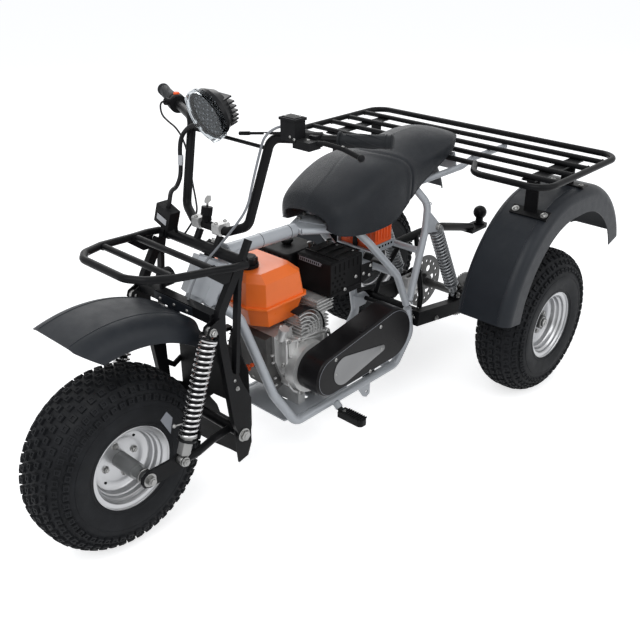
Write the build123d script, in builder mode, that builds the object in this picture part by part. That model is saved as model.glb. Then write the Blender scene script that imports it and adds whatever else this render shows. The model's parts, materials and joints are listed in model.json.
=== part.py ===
"""Three-wheeled off-road motor trike: fork-steered front wheel, exposed engine in a tube frame, solid rear axle.

Drawn with the front axle at y = 0 and the ground at z = 0, +X to the rider's left, -Y forward, +Z up.
Every piece is written moved back by FRONT_REACH, so the origin is on the ground at the middle of the machine.
"""

from build123d import *
from math import cos, radians, sin, tan, acos
import os

# Wheels: 20 inch low-pressure tyres on 8 inch rims
TYRE_R = 252.0
TYRE_W = 176.0
BEAD_R = 101.0
RIM_FLANGE_R = 115.0
RIM_W = 158.0
RIM_WALL = 3.0
WHEELBASE = 1443.0
REAR_TRACK = 758.0
AXLE_R = 8.0
REAR_AXLE_R = 15.0
RUNNING_FIT = 0.05

# Steering: an inclined head tube with a stem turning in it
RAKE = 30.0
HEAD_Y = 373.0
HEAD_Z = 738.0
HEAD_R = 25.0
STEM_R = 15.0
LEG_X = 156.0
LEG_W = 18.0
LEG_IN = LEG_X - LEG_W / 2

# Frame tubes
FRAME_R = 14.0
RAIL_X = 120.0
RAIL_Z = 145.0
TOP_TUBE_R = 20.0

# Handlebar
BAR_R = 12.0
GRIP_R = 16.0
GRIP_LENGTH = 125.0

# Racks and fenders
RACK_R = 10.0
SLAT_R = 8.5
REAR_RACK_Z = 798.0
REAR_RACK_X = 503.0
SHEET = 3.0
FENDER_X = 290.0
FENDER_W = 185.0

# Suspension units
SPRING_R = 21.0
SPRING_WIRE_R = 3.4

# Whole machine, from the front tyre's tread to the tail of the rear fenders
REAR_REACH = 1848.0
FRONT_REACH = (REAR_REACH - TYRE_R) / 2

FRONT_AXLE = Vector(0, 0, TYRE_R)
REAR_AXLE = Vector(0, WHEELBASE, TYRE_R)
STEER_UP = Vector(0, sin(radians(RAKE)), cos(radians(RAKE)))
STEER_BACK = Vector(0, cos(radians(RAKE)), -sin(radians(RAKE)))


def side(x):
    """Plane facing the rider's left at x, its own axes along Y and Z."""
    return Plane.YZ.offset(x)


def across(y):
    """Plane facing forward at y, its own axes along X and Z."""
    return Plane.XZ.offset(-y)


def on_steering_axis(along):
    """Plane square to the steering axis, its own axes across and backward."""
    origin = Vector(0, HEAD_Y, HEAD_Z) + STEER_UP * along
    return Plane(origin=origin, x_dir=(1, 0, 0), z_dir=STEER_UP)


def run_of(points, bend):
    """Line through the points with every corner bent to one radius."""
    with BuildLine(mode=Mode.PRIVATE) as run:
        if bend and len(points) > 2:
            FilletPolyline(*points, radius=bend)
        else:
            Polyline(*points)
    return run.line


def tube(points, radius, bend=0.0):
    """Round bar along a run of points."""
    run = run_of(points, bend)
    with BuildSketch(Plane(origin=run @ 0, z_dir=run % 0), mode=Mode.PRIVATE) as section:
        Circle(radius)
    sweep(sections=section.sketch, path=run, transition=Transition.RIGHT)


def flat_bar(points, across_dir, wide, thick, bend=0.0):
    """Rectangular bar along a run of points, wide along across_dir."""
    run = run_of(points, bend)
    start = Plane(origin=run @ 0, x_dir=across_dir, z_dir=run % 0)
    with BuildSketch(start, mode=Mode.PRIVATE) as section:
        Rectangle(wide, thick)
    sweep(sections=section.sketch, path=run, transition=Transition.RIGHT)


def plate(plane, outline, thick, holes=(), mode=Mode.ADD):
    """Flat plate of one outline; holes are (u, v, radius)."""
    with BuildSketch(plane, mode=Mode.PRIVATE) as face:
        with BuildLine():
            Polyline(*outline, close=True)
        make_face()
        for u, v, radius in holes:
            with Locations((u, v)):
                Circle(radius, mode=Mode.SUBTRACT)
    extrude(face.sketch, amount=thick, mode=mode)


def rod(start, end, radius, mode=Mode.ADD):
    """Straight cylinder between two points."""
    first = Vector(*start)
    last = Vector(*end)
    with BuildSketch(Plane(origin=first, z_dir=last - first), mode=Mode.PRIVATE) as section:
        Circle(radius)
    extrude(section.sketch, amount=(last - first).length, mode=mode)


def block(low, high, mode=Mode.ADD):
    """Box between two corners."""
    size = tuple(high[i] - low[i] for i in range(3))
    middle = tuple((high[i] + low[i]) / 2 for i in range(3))
    with Locations(middle):
        Box(*size, mode=mode)


def cord(points, radius):
    """Flexible cable along a run of points, each bend as easy as its runs allow."""
    knots = [Vector(*p) for p in points]
    bends = []
    for before, here, after in zip(knots, knots[1:], knots[2:]):
        way_in = (here - before).normalized()
        way_out = (after - here).normalized()
        half_turn = acos(max(-1.0, min(1.0, way_in.dot(way_out)))) / 2
        shorter = min((here - before).length, (after - here).length)
        bends.append(0.45 * shorter / tan(half_turn))
    with BuildLine(mode=Mode.PRIVATE) as run:
        FilletPolyline(*points, radius=bends)
    start = Plane(origin=run.line @ 0, z_dir=run.line % 0)
    with BuildSketch(start, mode=Mode.PRIVATE) as section:
        Circle(radius)
    sweep(sections=section.sketch, path=run.line)
    print("cord length", round(run.wires()[0].length), "bends", [round(b) for b in bends])


def spring(bottom, top, turns):
    """Coil spring standing between two points."""
    low = Vector(*bottom)
    high = Vector(*top)
    length = (high - low).length - 2 * SPRING_WIRE_R - 0.4
    frame = Plane(origin=low, z_dir=high - low).offset(SPRING_WIRE_R + 0.2)
    helix = Helix(pitch=length / turns, height=length, radius=SPRING_R)
    helix = frame.from_local_coords(helix)
    with BuildSketch(Plane(origin=helix @ 0, z_dir=helix % 0), mode=Mode.PRIVATE) as wire:
        Circle(SPRING_WIRE_R)
    sweep(sections=wire.sketch, path=helix, is_frenet=True)


def wheel_plane(x, axle):
    """Plane for a wheel profile: its own axes along X and outward from the axle."""
    return Plane(origin=(x, axle.Y, axle.Z), x_dir=(1, 0, 0), z_dir=(0, 0, 1))


def spin(profile, x, axle):
    """Turn a wheel profile all the way round its axle."""
    revolve(profile, axis=Axis((x, axle.Y, axle.Z), (1, 0, 0)))


def tyre(x, axle):
    """Hollow balloon tyre."""
    half = TYRE_W / 2
    foot = BEAD_R + 0.2
    with BuildSketch(wheel_plane(x, axle), mode=Mode.PRIVATE) as profile:
        with BuildLine():
            Polyline((-60, foot), (-74.7, foot), (-74.7, 116.5), (-78, 119))
            ThreePointArc((-78, 119), (-half, 163), (-84, 200))
            ThreePointArc((-84, 200), (-74, 226), (-52, 241))
            ThreePointArc((-52, 241), (0, TYRE_R), (52, 241))
            ThreePointArc((52, 241), (74, 226), (84, 200))
            ThreePointArc((84, 200), (half, 163), (78, 119))
            Polyline((78, 119), (74.7, 116.5), (74.7, foot), (60, foot), (60, 112), (70, 124))
            ThreePointArc((70, 124), (half - 9, 163), (75, 198))
            ThreePointArc((75, 198), (0, TYRE_R - 12), (-75, 198))
            ThreePointArc((-75, 198), (-half + 9, 163), (-70, 124))
            Polyline((-70, 124), (-60, 112), (-60, foot))
        make_face()
    spin(profile.sketch, x, axle)


def rim(x, axle, disc_x, hub_r):
    """Drop-centre rim with a wheel disc, disc_x from the wheel's middle."""
    edge = RIM_W / 2
    seat = BEAD_R
    well = BEAD_R - 13
    wall = RIM_WALL
    outer = [(-edge, RIM_FLANGE_R), (4 - edge, RIM_FLANGE_R), (4 - edge, seat), (-50, seat), (-36, well)]
    inner = [(-37, well - wall), (-51, seat - wall), (-edge, seat - wall)]
    loop = outer + [(-u, v) for u, v in reversed(outer)]
    loop += [(-u, v) for u, v in reversed(inner)] + inner
    with BuildSketch(wheel_plane(x, axle), mode=Mode.PRIVATE) as profile:
        with BuildLine():
            Polyline(*loop, close=True)
        make_face()
        with BuildLine():
            Polyline((disc_x, hub_r), (disc_x + 4, hub_r), (disc_x + 4, well - 1), (disc_x, well - 1), close=True)
        make_face()
    spin(profile.sketch, x, axle)


def shock_line(x, bottom, top):
    """Points along a suspension unit, by distance from its lower eye."""
    low = Vector(x, *bottom)
    high = Vector(x, *top)
    up = (high - low).normalized()
    return lambda along: low + up * along, (high - low).length


def shock(x, bottom, top):
    """Damper with its eyes and spring collars, the spring left off."""
    at, length = shock_line(x, bottom, top)
    rod((x - 8, *bottom), (x + 8, *bottom), 13)
    rod((x - 8, *top), (x + 8, *top), 12)
    rod(at(8), at(26), 7.8)
    rod(at(24), at(55), 15)
    rod(at(55), at(60), 25)
    rod(at(58), at(length - 20), 15.5)
    rod(at(length - 22), at(length - 17), 25)
    rod(at(length - 18), at(length - 8), 7.5)
    rod((x - 12, *bottom), (x + 12, *bottom), 5.5, mode=Mode.SUBTRACT)
    rod((x - 12, *top), (x + 12, *top), 5.5, mode=Mode.SUBTRACT)


FRONT_SHOCK = (158.0, (97.0, 266.0), (215.0, 592.0))
REAR_SHOCK = (120.0, (1354.0, 290.0), (1206.0, 589.0))

# ---------------------------------------------------------------- chassis: welded tube frame

with BuildPart() as frame_neck:
    with BuildSketch(on_steering_axis(-160)):
        Circle(HEAD_R)
    extrude(amount=123)
    with BuildSketch(on_steering_axis(-145)):
        with BuildLine():
            Polyline((-50, 30), (-50, -10), (0, -34), (50, -10), (50, 30), close=True)
        make_face()
    extrude(amount=103)
    tube([(0, 408, 704), (0, 672, 692)], TOP_TUBE_R)
    for web_x in (-22.0, 18.0):
        plate(side(web_x), [(300, 606), (352, 702), (400, 676), (412, 700), (450, 706),
                             (450, 668), (372, 575), (330, 575)], 4)
    tube([(30, 368, 590), (-30, 368, 590)], 11)
    rod(Vector(0, HEAD_Y, HEAD_Z) - STEER_UP * 170, Vector(0, HEAD_Y, HEAD_Z) - STEER_UP * 17,
        STEM_R + RUNNING_FIT, mode=Mode.SUBTRACT)

with BuildPart() as cradle:
    tube([(36, 368, 560), (60, 397, 530), (110, 470, 270), (RAIL_X, 547, RAIL_Z), (RAIL_X, 1025, RAIL_Z),
          (RAIL_X, 1098, 237), (RAIL_X, 1079, 334)], FRAME_R, bend=45)
    mirror(about=Plane.YZ)
    for beam_y in (600.0, 745.0, 1000.0):
        rod((-RAIL_X, beam_y, RAIL_Z), (RAIL_X, beam_y, RAIL_Z), 12)
    rod((-45, 380, 545), (45, 380, 545), 10)
    plate(Plane.XY.offset(RAIL_Z + 9), [(-104, 516), (104, 516), (112, 545), (112, 790), (-112, 790), (-112, 545)], 5,
          holes=[(56, 653, 11), (-60, 655, 12), (8, 602, 9), (15, 606, 9), (22, 610, 9)])
    for tab_x in (RAIL_X - 3, -RAIL_X - 2):
        plate(side(tab_x), [(820, 145), (895, 145), (893, 90), (878, 82), (862, 90), (841, 122)], 5,
              holes=[(878, 102, 6)])
    for lug_x in (98.0, -109.8):
        plate(side(lug_x), [(1070, 262), (1125, 262), (1146, 285), (1125, 308), (1070, 308)], 11.8,
              holes=[(1125, 285, 8.1)])

SEAT_STATIONS = [
    # y, half width, lower edge z, shoulder z, crown z
    (722, 90, 698, 720, 750),
    (748, 120, 682, 752, 786),
    (815, 138, 672, 784, 826),
    (900, 140, 666, 816, 864),
    (985, 134, 672, 826, 876),
    (1060, 124, 712, 828, 882),
    (1130, 119, 750, 832, 889),
    (1210, 118, 786, 846, 892),
    (1290, 112, 820, 858, 882),
    (1342, 88, 846, 860, 868),
]

SEAT_HOLLOW = [
    # y, half width, low z, high z
    (714, 78, 680, 706),
    (748, 88, 662, 712),
    (815, 102, 645, 714),
    (900, 106, 645, 728),
    (985, 104, 650, 742),
    (1060, 102, 694, 758),
    (1130, 104, 732, 780),
    (1200, 106, 764, 792),
]


def seat_section(y, half, low, shoulder, crown):
    """Cross section of the seat: flat below, upright flanks, arched above."""
    with BuildSketch(across(y), mode=Mode.PRIVATE) as section:
        with BuildLine():
            Polyline((-half, shoulder), (-half, low), (half, low), (half, shoulder))
            ThreePointArc((half, shoulder), (0, crown), (-half, shoulder))
        make_face()
    return section.sketch


with BuildPart() as seat:
    loft(sections=[seat_section(*station) for station in SEAT_STATIONS])
    with BuildPart(mode=Mode.PRIVATE) as hollow:
        loft(sections=[seat_section(y, half, low, high, high + 1) for y, half, low, high in SEAT_HOLLOW])
    add(hollow.part, mode=Mode.SUBTRACT)

with BuildPart() as rear_frame:
    tube([(88, 846, 664), (104, 890, 616), (RAIL_X, 1015, 475), (RAIL_X, 1072, 352)], 12, bend=60)
    tube([(RAIL_X, 1088, 362), (RAIL_X, 1156, 591), (RAIL_X, 1160, 676), (90, 1116, 740)], 12, bend=60)
    tube([(22, 681.5, 690), (88, 800, 680), (92, 1110, 745), (125, 1330, 762), (130, 1384, 779.5), (130, 1580, 779.5)],
         RACK_R, bend=60)
    plate(side(108), [(1150, 582), (1206, 571), (1222, 589), (1206, 607), (1162, 650), (1156, 650)], 4,
          holes=[(1206, 589, 5.5)])
    plate(side(128), [(1150, 582), (1206, 571), (1222, 589), (1206, 607), (1162, 650), (1156, 650)], 4,
          holes=[(1206, 589, 5.5)])
    mirror(about=Plane.YZ)
    rod((-RAIL_X, 1136, 520), (RAIL_X, 1136, 520), 11)
    rod((-RAIL_X, 1015, 478), (RAIL_X, 1015, 478), 11)
    rod((-92, 1000, 721), (92, 1000, 721), 9)
    for pad_x in (-60.0, 36.0):
        block((pad_x, 986, 724), (pad_x + 24, 1014, 760))
    rod((-26, 681.5, 690), (26, 681.5, 690), 9.2)
    plate(Plane.XY.offset(691), [(-28, 692), (28, 692), (80, 795), (-80, 795)], 4)
    plate(Plane.XY.offset(520), [(-135, 1012), (25, 1012), (25, 1136), (-135, 1136)], 5)
    plate(side(20.5), [(1012, 520), (1120, 520), (1120, 545), (1012, 545)], 3)
    plate(side(-134), [(1012, 520), (1120, 520), (1120, 545), (1012, 545)], 3)
    plate(across(1306), [(-124, 756), (124, 756), (112, 812), (-112, 812)], 4)
    add(seat.part.moved(Location((0, 0, -0.3))), mode=Mode.SUBTRACT)

with BuildPart() as foot_pegs:
    rod((128, 718, 140), (158, 718, 114), 9.5)
    block((152, 701, 102), (246, 737, 122))
    fillet(foot_pegs.edges().filter_by(Axis.Z).sort_by(Axis.X)[-2:], 14)
    rod((RAIL_X, 680, RAIL_Z), (RAIL_X, 750, RAIL_Z), FRAME_R + 0.1, mode=Mode.SUBTRACT)
    mirror(about=Plane.YZ)

# ---------------------------------------------------------------- chassis: engine

with BuildPart() as crankcase:
    plate(side(-62), [(524, 419.8), (556, 430), (596, 424), (601.8, 391.9), (740, 391.9), (752, 300), (712, 214), (600, 206),
                      (566, 240), (526, 340)], 124)
    plate(side(60), [(556, 404), (600, 386), (720, 372), (742, 300), (700, 222), (606, 214), (562, 262)], 28)
    rod((80, 625, 301), (117, 625, 301), 80)
    block((-60, 606, 159), (76, 634, 212))
    block((-60, 680, 159), (76, 716, 218))
    rod((66, 548, 408), (80, 548, 446), 15)

with BuildPart() as engine_shroud:
    plate(side(-60), [(498, 416), (523.8, 420), (525.8, 340), (546, 288.5), (565.6, 239.8), (536, 230), (506, 300)], 112)

with BuildPart() as cylinder:
    block((-30, 612, 392), (84, 712, 448.8))
    block((-30, 680, 440), (84, 730, 488))
    for fin_z in (398.0, 409.0, 420.0, 431.0):
        block((-38, 602, fin_z), (94, 722, fin_z + 3))
    for fin_z in (450.0, 461.0, 472.0, 483.0):
        block((-38, 672, fin_z), (94, 742, fin_z + 3))



def tank_ring(z, x0, x1, y0, y1, cut_x, cut_y):
    """Level outline of the tank with its corners cut off."""
    with BuildSketch(Plane.XY.offset(z), mode=Mode.PRIVATE) as ring:
        with BuildLine():
            Polyline((x0 + cut_x, y0), (x1 - cut_x, y0), (x1, y0 + cut_y), (x1, y1 - 16), (x1 - 16, y1),
                     (x0 + 16, y1), (x0, y1 - 16), (x0, y0 + cut_y), close=True)
        make_face()
    return ring.sketch


with BuildPart() as fuel_tank:
    loft(sections=[tank_ring(449, -200, 46, 492, 640, 46, 28), tank_ring(513, -220, 58, 472, 664, 50, 32)], ruled=True)
    loft(sections=[tank_ring(517, -220, 58, 470, 666, 50, 32), tank_ring(588, -212, 53, 476, 655, 48, 30)], ruled=True)
    loft(sections=[tank_ring(588, -212, 53, 476, 655, 48, 30), tank_ring(611, -188, 28, 488, 634, 36, 22)], ruled=True)
    extrude(tank_ring(512, -227, 65, 464, 671, 52, 34), amount=6)

with BuildPart() as fuel_cap:
    rod((-46, 528, 611.2), (-46, 528, 620), 34)
    rod((-46, 528, 620), (-46, 528, 640), 27)

with BuildPart() as muffler:
    block((-25, 748, 486), (110, 852, 603))
    block((-25, 712, 494), (110, 752, 603))
    fillet(muffler.edges().filter_by(Axis.X).group_by(Axis.Z)[-1], 10)
    rod((20, 742.2, 474), (20, 800, 474), 14)

with BuildPart() as air_filter:
    block((-190, 690, 470), (-45, 830, 592))
    fillet(air_filter.edges().filter_by(Axis.Z), 20)
    fillet(air_filter.faces().sort_by(Axis.Z)[-1].edges(), 8)
    rod((-60, 720, 440), (-60, 720, 471), 18)
    rod((-60, 720, 428), (-38.2, 720, 428), 16)
    rod((-60, 720, 412), (-60, 720, 442), 16)

with BuildPart() as recoil_starter:
    rod((-62.2, 622, 301), (-148, 622, 301), 96)
    rod((-148, 622, 301), (-162, 622, 301), 78)
    fillet(recoil_starter.faces().sort_by(Axis.X)[0].edges(), 6)

DRIVE = (625.0, 301.0, 65.0)
DRIVEN = (908.0, 328.0, 87.0)
with BuildPart() as belt_cover:
    with BuildSketch(side(117.2)) as cover_outline:
        with Locations(DRIVE[:2]):
            Circle(DRIVE[2])
        with Locations(DRIVEN[:2]):
            Circle(DRIVEN[2])
        make_hull()
    extrude(amount=83)
    fillet(belt_cover.faces().sort_by(Axis.X)[-1].edges(), 9)
    rod((60, 908, 328), (118, 908, 328), 30)
    plate(side(RAIL_X - FRAME_R - 6.2), [(880, 138), (935, 138), (935, 330), (880, 330)], 6)

# ---------------------------------------------------------------- chassis: battery, seat, running gear

with BuildPart() as battery:
    block((-130, 1024, 525.2), (20, 1108, 632))
    fillet(battery.edges().filter_by(Axis.Z), 4)

with BuildPart() as swing_arm:
    for arm_x in (125.0, -125.0):
        flat_bar([(arm_x, 1117, 284), (arm_x, 1330, 250), (arm_x, WHEELBASE - 20, 250)], (1, 0, 0), 30, 50)
        rod((arm_x - 15, WHEELBASE, TYRE_R), (arm_x + 15, WHEELBASE, TYRE_R), 36)
    for lug_x in (108.2, 128.2, -111.8, -131.8):
        plate(side(lug_x), [(1330, 262), (1376, 262), (1372, 290), (1362, 303), (1346, 303), (1336, 290)], 3.6)
    rod((106, 1354, 290), (134, 1354, 290), 5.4)
    rod((-106, 1354, 290), (-134, 1354, 290), 5.4)
    rod((-110, 1172, 274), (110, 1172, 274), 17)
    rod((-116, 1125, 285), (116, 1125, 285), 8)
    rod((-160, WHEELBASE, TYRE_R), (160, WHEELBASE, TYRE_R), REAR_AXLE_R + RUNNING_FIT, mode=Mode.SUBTRACT)

with BuildPart() as rear_shocks:
    shock(*REAR_SHOCK)
    mirror(about=Plane.YZ)

with BuildPart() as rear_springs:
    unit, unit_length = shock_line(*REAR_SHOCK)
    spring(unit(60), unit(unit_length - 22), 17)
    mirror(about=Plane.YZ)

with BuildPart() as rear_rack:
    tube([(205, 1283, REAR_RACK_Z), (255, 1195, REAR_RACK_Z), (REAR_RACK_X, 1195, REAR_RACK_Z),
          (REAR_RACK_X, 1665, REAR_RACK_Z), (0, 1665, REAR_RACK_Z)], RACK_R, bend=60)
    for slat_y in (1283.0, 1378.0, 1474.0, 1569.0):
        rod((0, slat_y, REAR_RACK_Z), (REAR_RACK_X, slat_y, REAR_RACK_Z), SLAT_R)
    block((380, 1272, REAR_RACK_Z - 13), (425, 1580, REAR_RACK_Z - 8))
    mirror(about=Plane.YZ)

FENDER_R = 430.0
FENDER_TOP_R = 335.0
FENDER_TAIL_R = 330.0
FENDER_TURN = 128.0
FENDER_ARC = (1535.0, 308.0)
TOP_ARC = (FENDER_ARC[0] + (FENDER_R - FENDER_TOP_R) * cos(radians(FENDER_TURN)),
           FENDER_ARC[1] + (FENDER_R - FENDER_TOP_R) * sin(radians(FENDER_TURN)))
FENDER_TOP_Z = TOP_ARC[1] + FENDER_TOP_R
TAIL_ARC = (1530.0, FENDER_TOP_Z - FENDER_TAIL_R)

with BuildPart() as rack_posts:
    for post_x in (402.0, -402.0):
        post_angle = 121.6
        foot = Vector(post_x, FENDER_ARC[0] + (FENDER_R + 0.2) * cos(radians(post_angle)),
                      FENDER_ARC[1] + (FENDER_R + 0.2) * sin(radians(post_angle)))
        out = Vector(0, cos(radians(post_angle)), sin(radians(post_angle)))
        with BuildSketch(Plane(origin=foot, x_dir=(1, 0, 0), z_dir=out)):
            Rectangle(130, 34)
            with Locations((-50, 0), (50, 0)):
                Circle(4, mode=Mode.SUBTRACT)
        extrude(amount=5)
        block((post_x - 22, foot.Y - 3, foot.Z + 1), (post_x + 22, foot.Y + 3, REAR_RACK_Z - 13.2))
        block((post_x - 65, 1512, FENDER_TOP_Z + 0.2), (post_x + 65, 1546, FENDER_TOP_Z + 5.2))
        block((post_x - 22, 1526, FENDER_TOP_Z + 0.2), (post_x + 22, 1532, REAR_RACK_Z - 13.2))


def rear_fender(x_in, x_out):
    """Sheet fender swept over the wheel, its outer edge turned down and its inner edge rolled."""
    turn = 1 if x_out > x_in else -1
    with BuildLine(Plane.YZ, mode=Mode.PRIVATE) as crest:
        CenterArc(FENDER_ARC, FENDER_R, 172, FENDER_TURN - 172)
        CenterArc(TOP_ARC, FENDER_TOP_R, FENDER_TURN, 90 - FENDER_TURN)
        Line((TOP_ARC[0], FENDER_TOP_Z), (TAIL_ARC[0], FENDER_TOP_Z))
        CenterArc(TAIL_ARC, FENDER_TAIL_R, 90, -74)
    start = crest.wires()[0]
    out = Vector(0, cos(radians(172)), sin(radians(172)))
    section_plane = Plane(origin=start @ 0, x_dir=(turn, 0, 0), z_dir=Vector(turn, 0, 0).cross(out))
    near = turn * x_in
    far = turn * x_out
    bend = 35.0
    roll = 18.0
    drop = 86.0
    with BuildSketch(section_plane, mode=Mode.PRIVATE) as section:
        with BuildLine():
            RadiusArc((near, -roll), (near + roll, 0), roll)
            Line((near + roll, 0), (far - bend, 0))
            RadiusArc((far - bend, 0), (far, -bend), bend)
            Polyline((far, -bend), (far, -drop), (far - SHEET, -drop), (far - SHEET, -bend))
            RadiusArc((far - SHEET, -bend), (far - bend, -SHEET), -(bend - SHEET))
            Line((far - bend, -SHEET), (near + roll, -SHEET))
            RadiusArc((near + roll, -SHEET), (near + SHEET, -roll), -(roll - SHEET))
            Line((near + SHEET, -roll), (near, -roll))
        make_face()
    sweep(sections=section.sketch, path=start)


with BuildPart() as rear_fender_left:
    rear_fender(FENDER_X, FENDER_X + FENDER_W)

with BuildPart() as rear_fender_right:
    rear_fender(-FENDER_X, -FENDER_X - FENDER_W)

with BuildPart() as tow_hitch:
    tube([(0, 1147.2, 508), (0, 1293, 509), (0, 1419, 496), (0, 1536, 463), (0, 1612, 441)], 15, bend=120)
    plate(Plane.XY.offset(430), [(-30, 1580), (30, 1580), (30, 1676), (18, 1698), (-18, 1698), (-30, 1676)], 10)
    rod((0, 1669, 440), (0, 1669, 468), 14)
    rod((0, 1669, 440), (0, 1669, 446), 20)
    with Locations((0, 1669, 485)):
        Sphere(25)
    for stay_x in (-1, 1):
        tube([(stay_x * 8, 1260, 509), (stay_x * 40, 1230, 470), (stay_x * 92, 1190, 330), (stay_x * 96, 1180, 292)],
             9, bend=40)

with BuildPart() as brake_caliper:
    block((-98, 1322, 226), (-62, 1394, 300))
    block((-87, 1336, 220), (-73, 1400, 306), mode=Mode.SUBTRACT)
    block((-109.8, 1334, 230), (-96, 1388, 260))

# ---------------------------------------------------------------- rear axle, turning with its wheels

REAR_WHEEL_X = REAR_TRACK / 2
with BuildPart() as axle_shaft:
    rod((-430, WHEELBASE, TYRE_R), (430, WHEELBASE, TYRE_R), REAR_AXLE_R)
    for turn in (-1, 1):
        rod((turn * 320, WHEELBASE, TYRE_R), (turn * (REAR_WHEEL_X + 15.8), WHEELBASE, TYRE_R), 30)
        rod((turn * (REAR_WHEEL_X + 8), WHEELBASE, TYRE_R), (turn * (REAR_WHEEL_X + 15.8), WHEELBASE, TYRE_R), 60)
        rod((turn * (REAR_WHEEL_X + 15.8), WHEELBASE, TYRE_R), (turn * (REAR_WHEEL_X + 46), WHEELBASE, TYRE_R), 23.8)

with BuildPart() as axle_discs:
    rod((-82, WHEELBASE, TYRE_R), (-78, WHEELBASE, TYRE_R), 100)
    with BuildSketch(side(-90)):
        with Locations((WHEELBASE, TYRE_R)):
            with PolarLocations(78, 18):
                Circle(6)
            with PolarLocations(50, 6):
                Circle(13)
    extrude(amount=20, mode=Mode.SUBTRACT)
    rod((-84, WHEELBASE, TYRE_R), (-62, WHEELBASE, TYRE_R), 28)
    rod((88, WHEELBASE, TYRE_R), (92, WHEELBASE, TYRE_R), 78)
    rod((74, WHEELBASE, TYRE_R), (94, WHEELBASE, TYRE_R), 28)
    rod((-120, WHEELBASE, TYRE_R), (120, WHEELBASE, TYRE_R), REAR_AXLE_R, mode=Mode.SUBTRACT)

with BuildPart() as rear_tyre_left:
    tyre(REAR_WHEEL_X, REAR_AXLE)

with BuildPart() as rear_tyre_right:
    tyre(-REAR_WHEEL_X, REAR_AXLE)

with BuildPart() as rear_rim_left:
    rim(REAR_WHEEL_X, REAR_AXLE, 16, 24)

with BuildPart() as rear_rim_right:
    rim(-REAR_WHEEL_X, REAR_AXLE, -20, 24)

# ---------------------------------------------------------------- front wheel

with BuildPart() as front_tyre:
    tyre(0, FRONT_AXLE)

with BuildPart() as front_rim:
    rim(0, FRONT_AXLE, 16, 22.2)

with BuildPart() as front_hub:
    rod((-127, 0, TYRE_R), (127, 0, TYRE_R), 16)
    rod((-60, 0, TYRE_R), (96, 0, TYRE_R), 22)
    rod((8, 0, TYRE_R), (15.8, 0, TYRE_R), 58)
    rod((-130, 0, TYRE_R), (130, 0, TYRE_R), AXLE_R + RUNNING_FIT, mode=Mode.SUBTRACT)

# ---------------------------------------------------------------- fork, turning in the head tube

CROSS = (242.0, 615.0)
FLAP_Y = 346.0
with BuildPart() as fork_crown:
    with BuildSketch(on_steering_axis(-173)):
        Circle(30)
        with Locations((0, -26)):
            Rectangle(80, 50)
    extrude(amount=8)
    with BuildSketch(on_steering_axis(-21)):
        Circle(32)
        with Locations((0, -20)):
            Rectangle(96, 30)
    extrude(amount=10)
    rod(Vector(0, HEAD_Y, HEAD_Z) - STEER_UP * 32, Vector(0, HEAD_Y, HEAD_Z) - STEER_UP * 20, 22)
    for riser_x in (-40.0, 40.0):
        foot = Vector(riser_x, 346, 740)
        rod(foot, foot + STEER_UP * 37, 10)
    rod(Vector(0, HEAD_Y, HEAD_Z) - STEER_UP * 173, Vector(0, HEAD_Y, HEAD_Z) - STEER_UP * 4, STEM_R)
    rod(Vector(0, HEAD_Y, HEAD_Z) - STEER_UP * 12, Vector(0, HEAD_Y, HEAD_Z) - STEER_UP * -2, 20)
    rod((-LEG_IN, 343, 737), (LEG_IN, 343, 737), 15)
    block((-LEG_IN, CROSS[0] - 14, CROSS[1] - 14), (LEG_IN, CROSS[0] + 14, CROSS[1] + 14))
    plate(across(285), [(-LEG_IN, 425), (0, 512), (LEG_IN, 425), (LEG_IN, 452), (0, 540), (-LEG_IN, 452)], 5)


def fork_leg(plate_outline):
    """Left leg: square front tube, flat rear strip, lower side plate and the shock's upper clevis."""
    flat_bar([(LEG_X, 312, 731), (LEG_X, 250, 631), (LEG_X, 248, 554), (LEG_X, 283, 295), (LEG_X, 303, 243)],
             (1, 0, 0), LEG_W, 24, bend=40)
    flat_bar([(LEG_X, 356, 795), (LEG_X, 328, 745), (LEG_X, 314, 690), (LEG_X, 292, 440)], (1, 0, 0), LEG_W, 12, bend=60)
    plate(side(LEG_IN), plate_outline, 6, holes=[(303, 243, 8.1)])
    for ear_x in (LEG_IN, 166.2):
        plate(side(ear_x), [(242, 580), (208, 580), (198, 591), (204, 606), (242, 622)], 2.8,
              holes=[(215, 592, 5.6)])


with BuildPart() as fork_leg_left:
    fork_leg([(256, 440), (296, 452), (318, 396), (FLAP_Y, 338), (FLAP_Y - 2, 250), (326, 158), (292, 150),
              (286, 215), (272, 390)])
    rod((120, 303, 243), (200, 303, 243), 8.1, mode=Mode.SUBTRACT)

with BuildPart() as fork_leg_right:
    fork_leg([(256, 440), (296, 452), (298, 362), (320, 343), (FLAP_Y, 356), (FLAP_Y, 338), (320, 325), (300, 340),
              (302, 292), (FLAP_Y, 264), (FLAP_Y - 2, 250), (326, 158), (292, 150), (286, 215), (272, 390)])
    rod((120, 303, 243), (200, 303, 243), 8.1, mode=Mode.SUBTRACT)
    mirror(about=Plane.YZ, mode=Mode.REPLACE)

with BuildPart() as mud_flap:
    plate(across(FLAP_Y), [(-LEG_IN, 118), (-80, 105), (-12, 110), (55, 120), (112, 124), (130, 136), (LEG_IN, 190),
                           (LEG_IN, 420), (112, 470), (-112, 470), (-LEG_IN, 420)], 3)
    plate(across(FLAP_Y), [(-25, 266), (-5, 284), (50, 289), (67, 230), (16, 230), (5, 252)], 3, mode=Mode.SUBTRACT)

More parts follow.
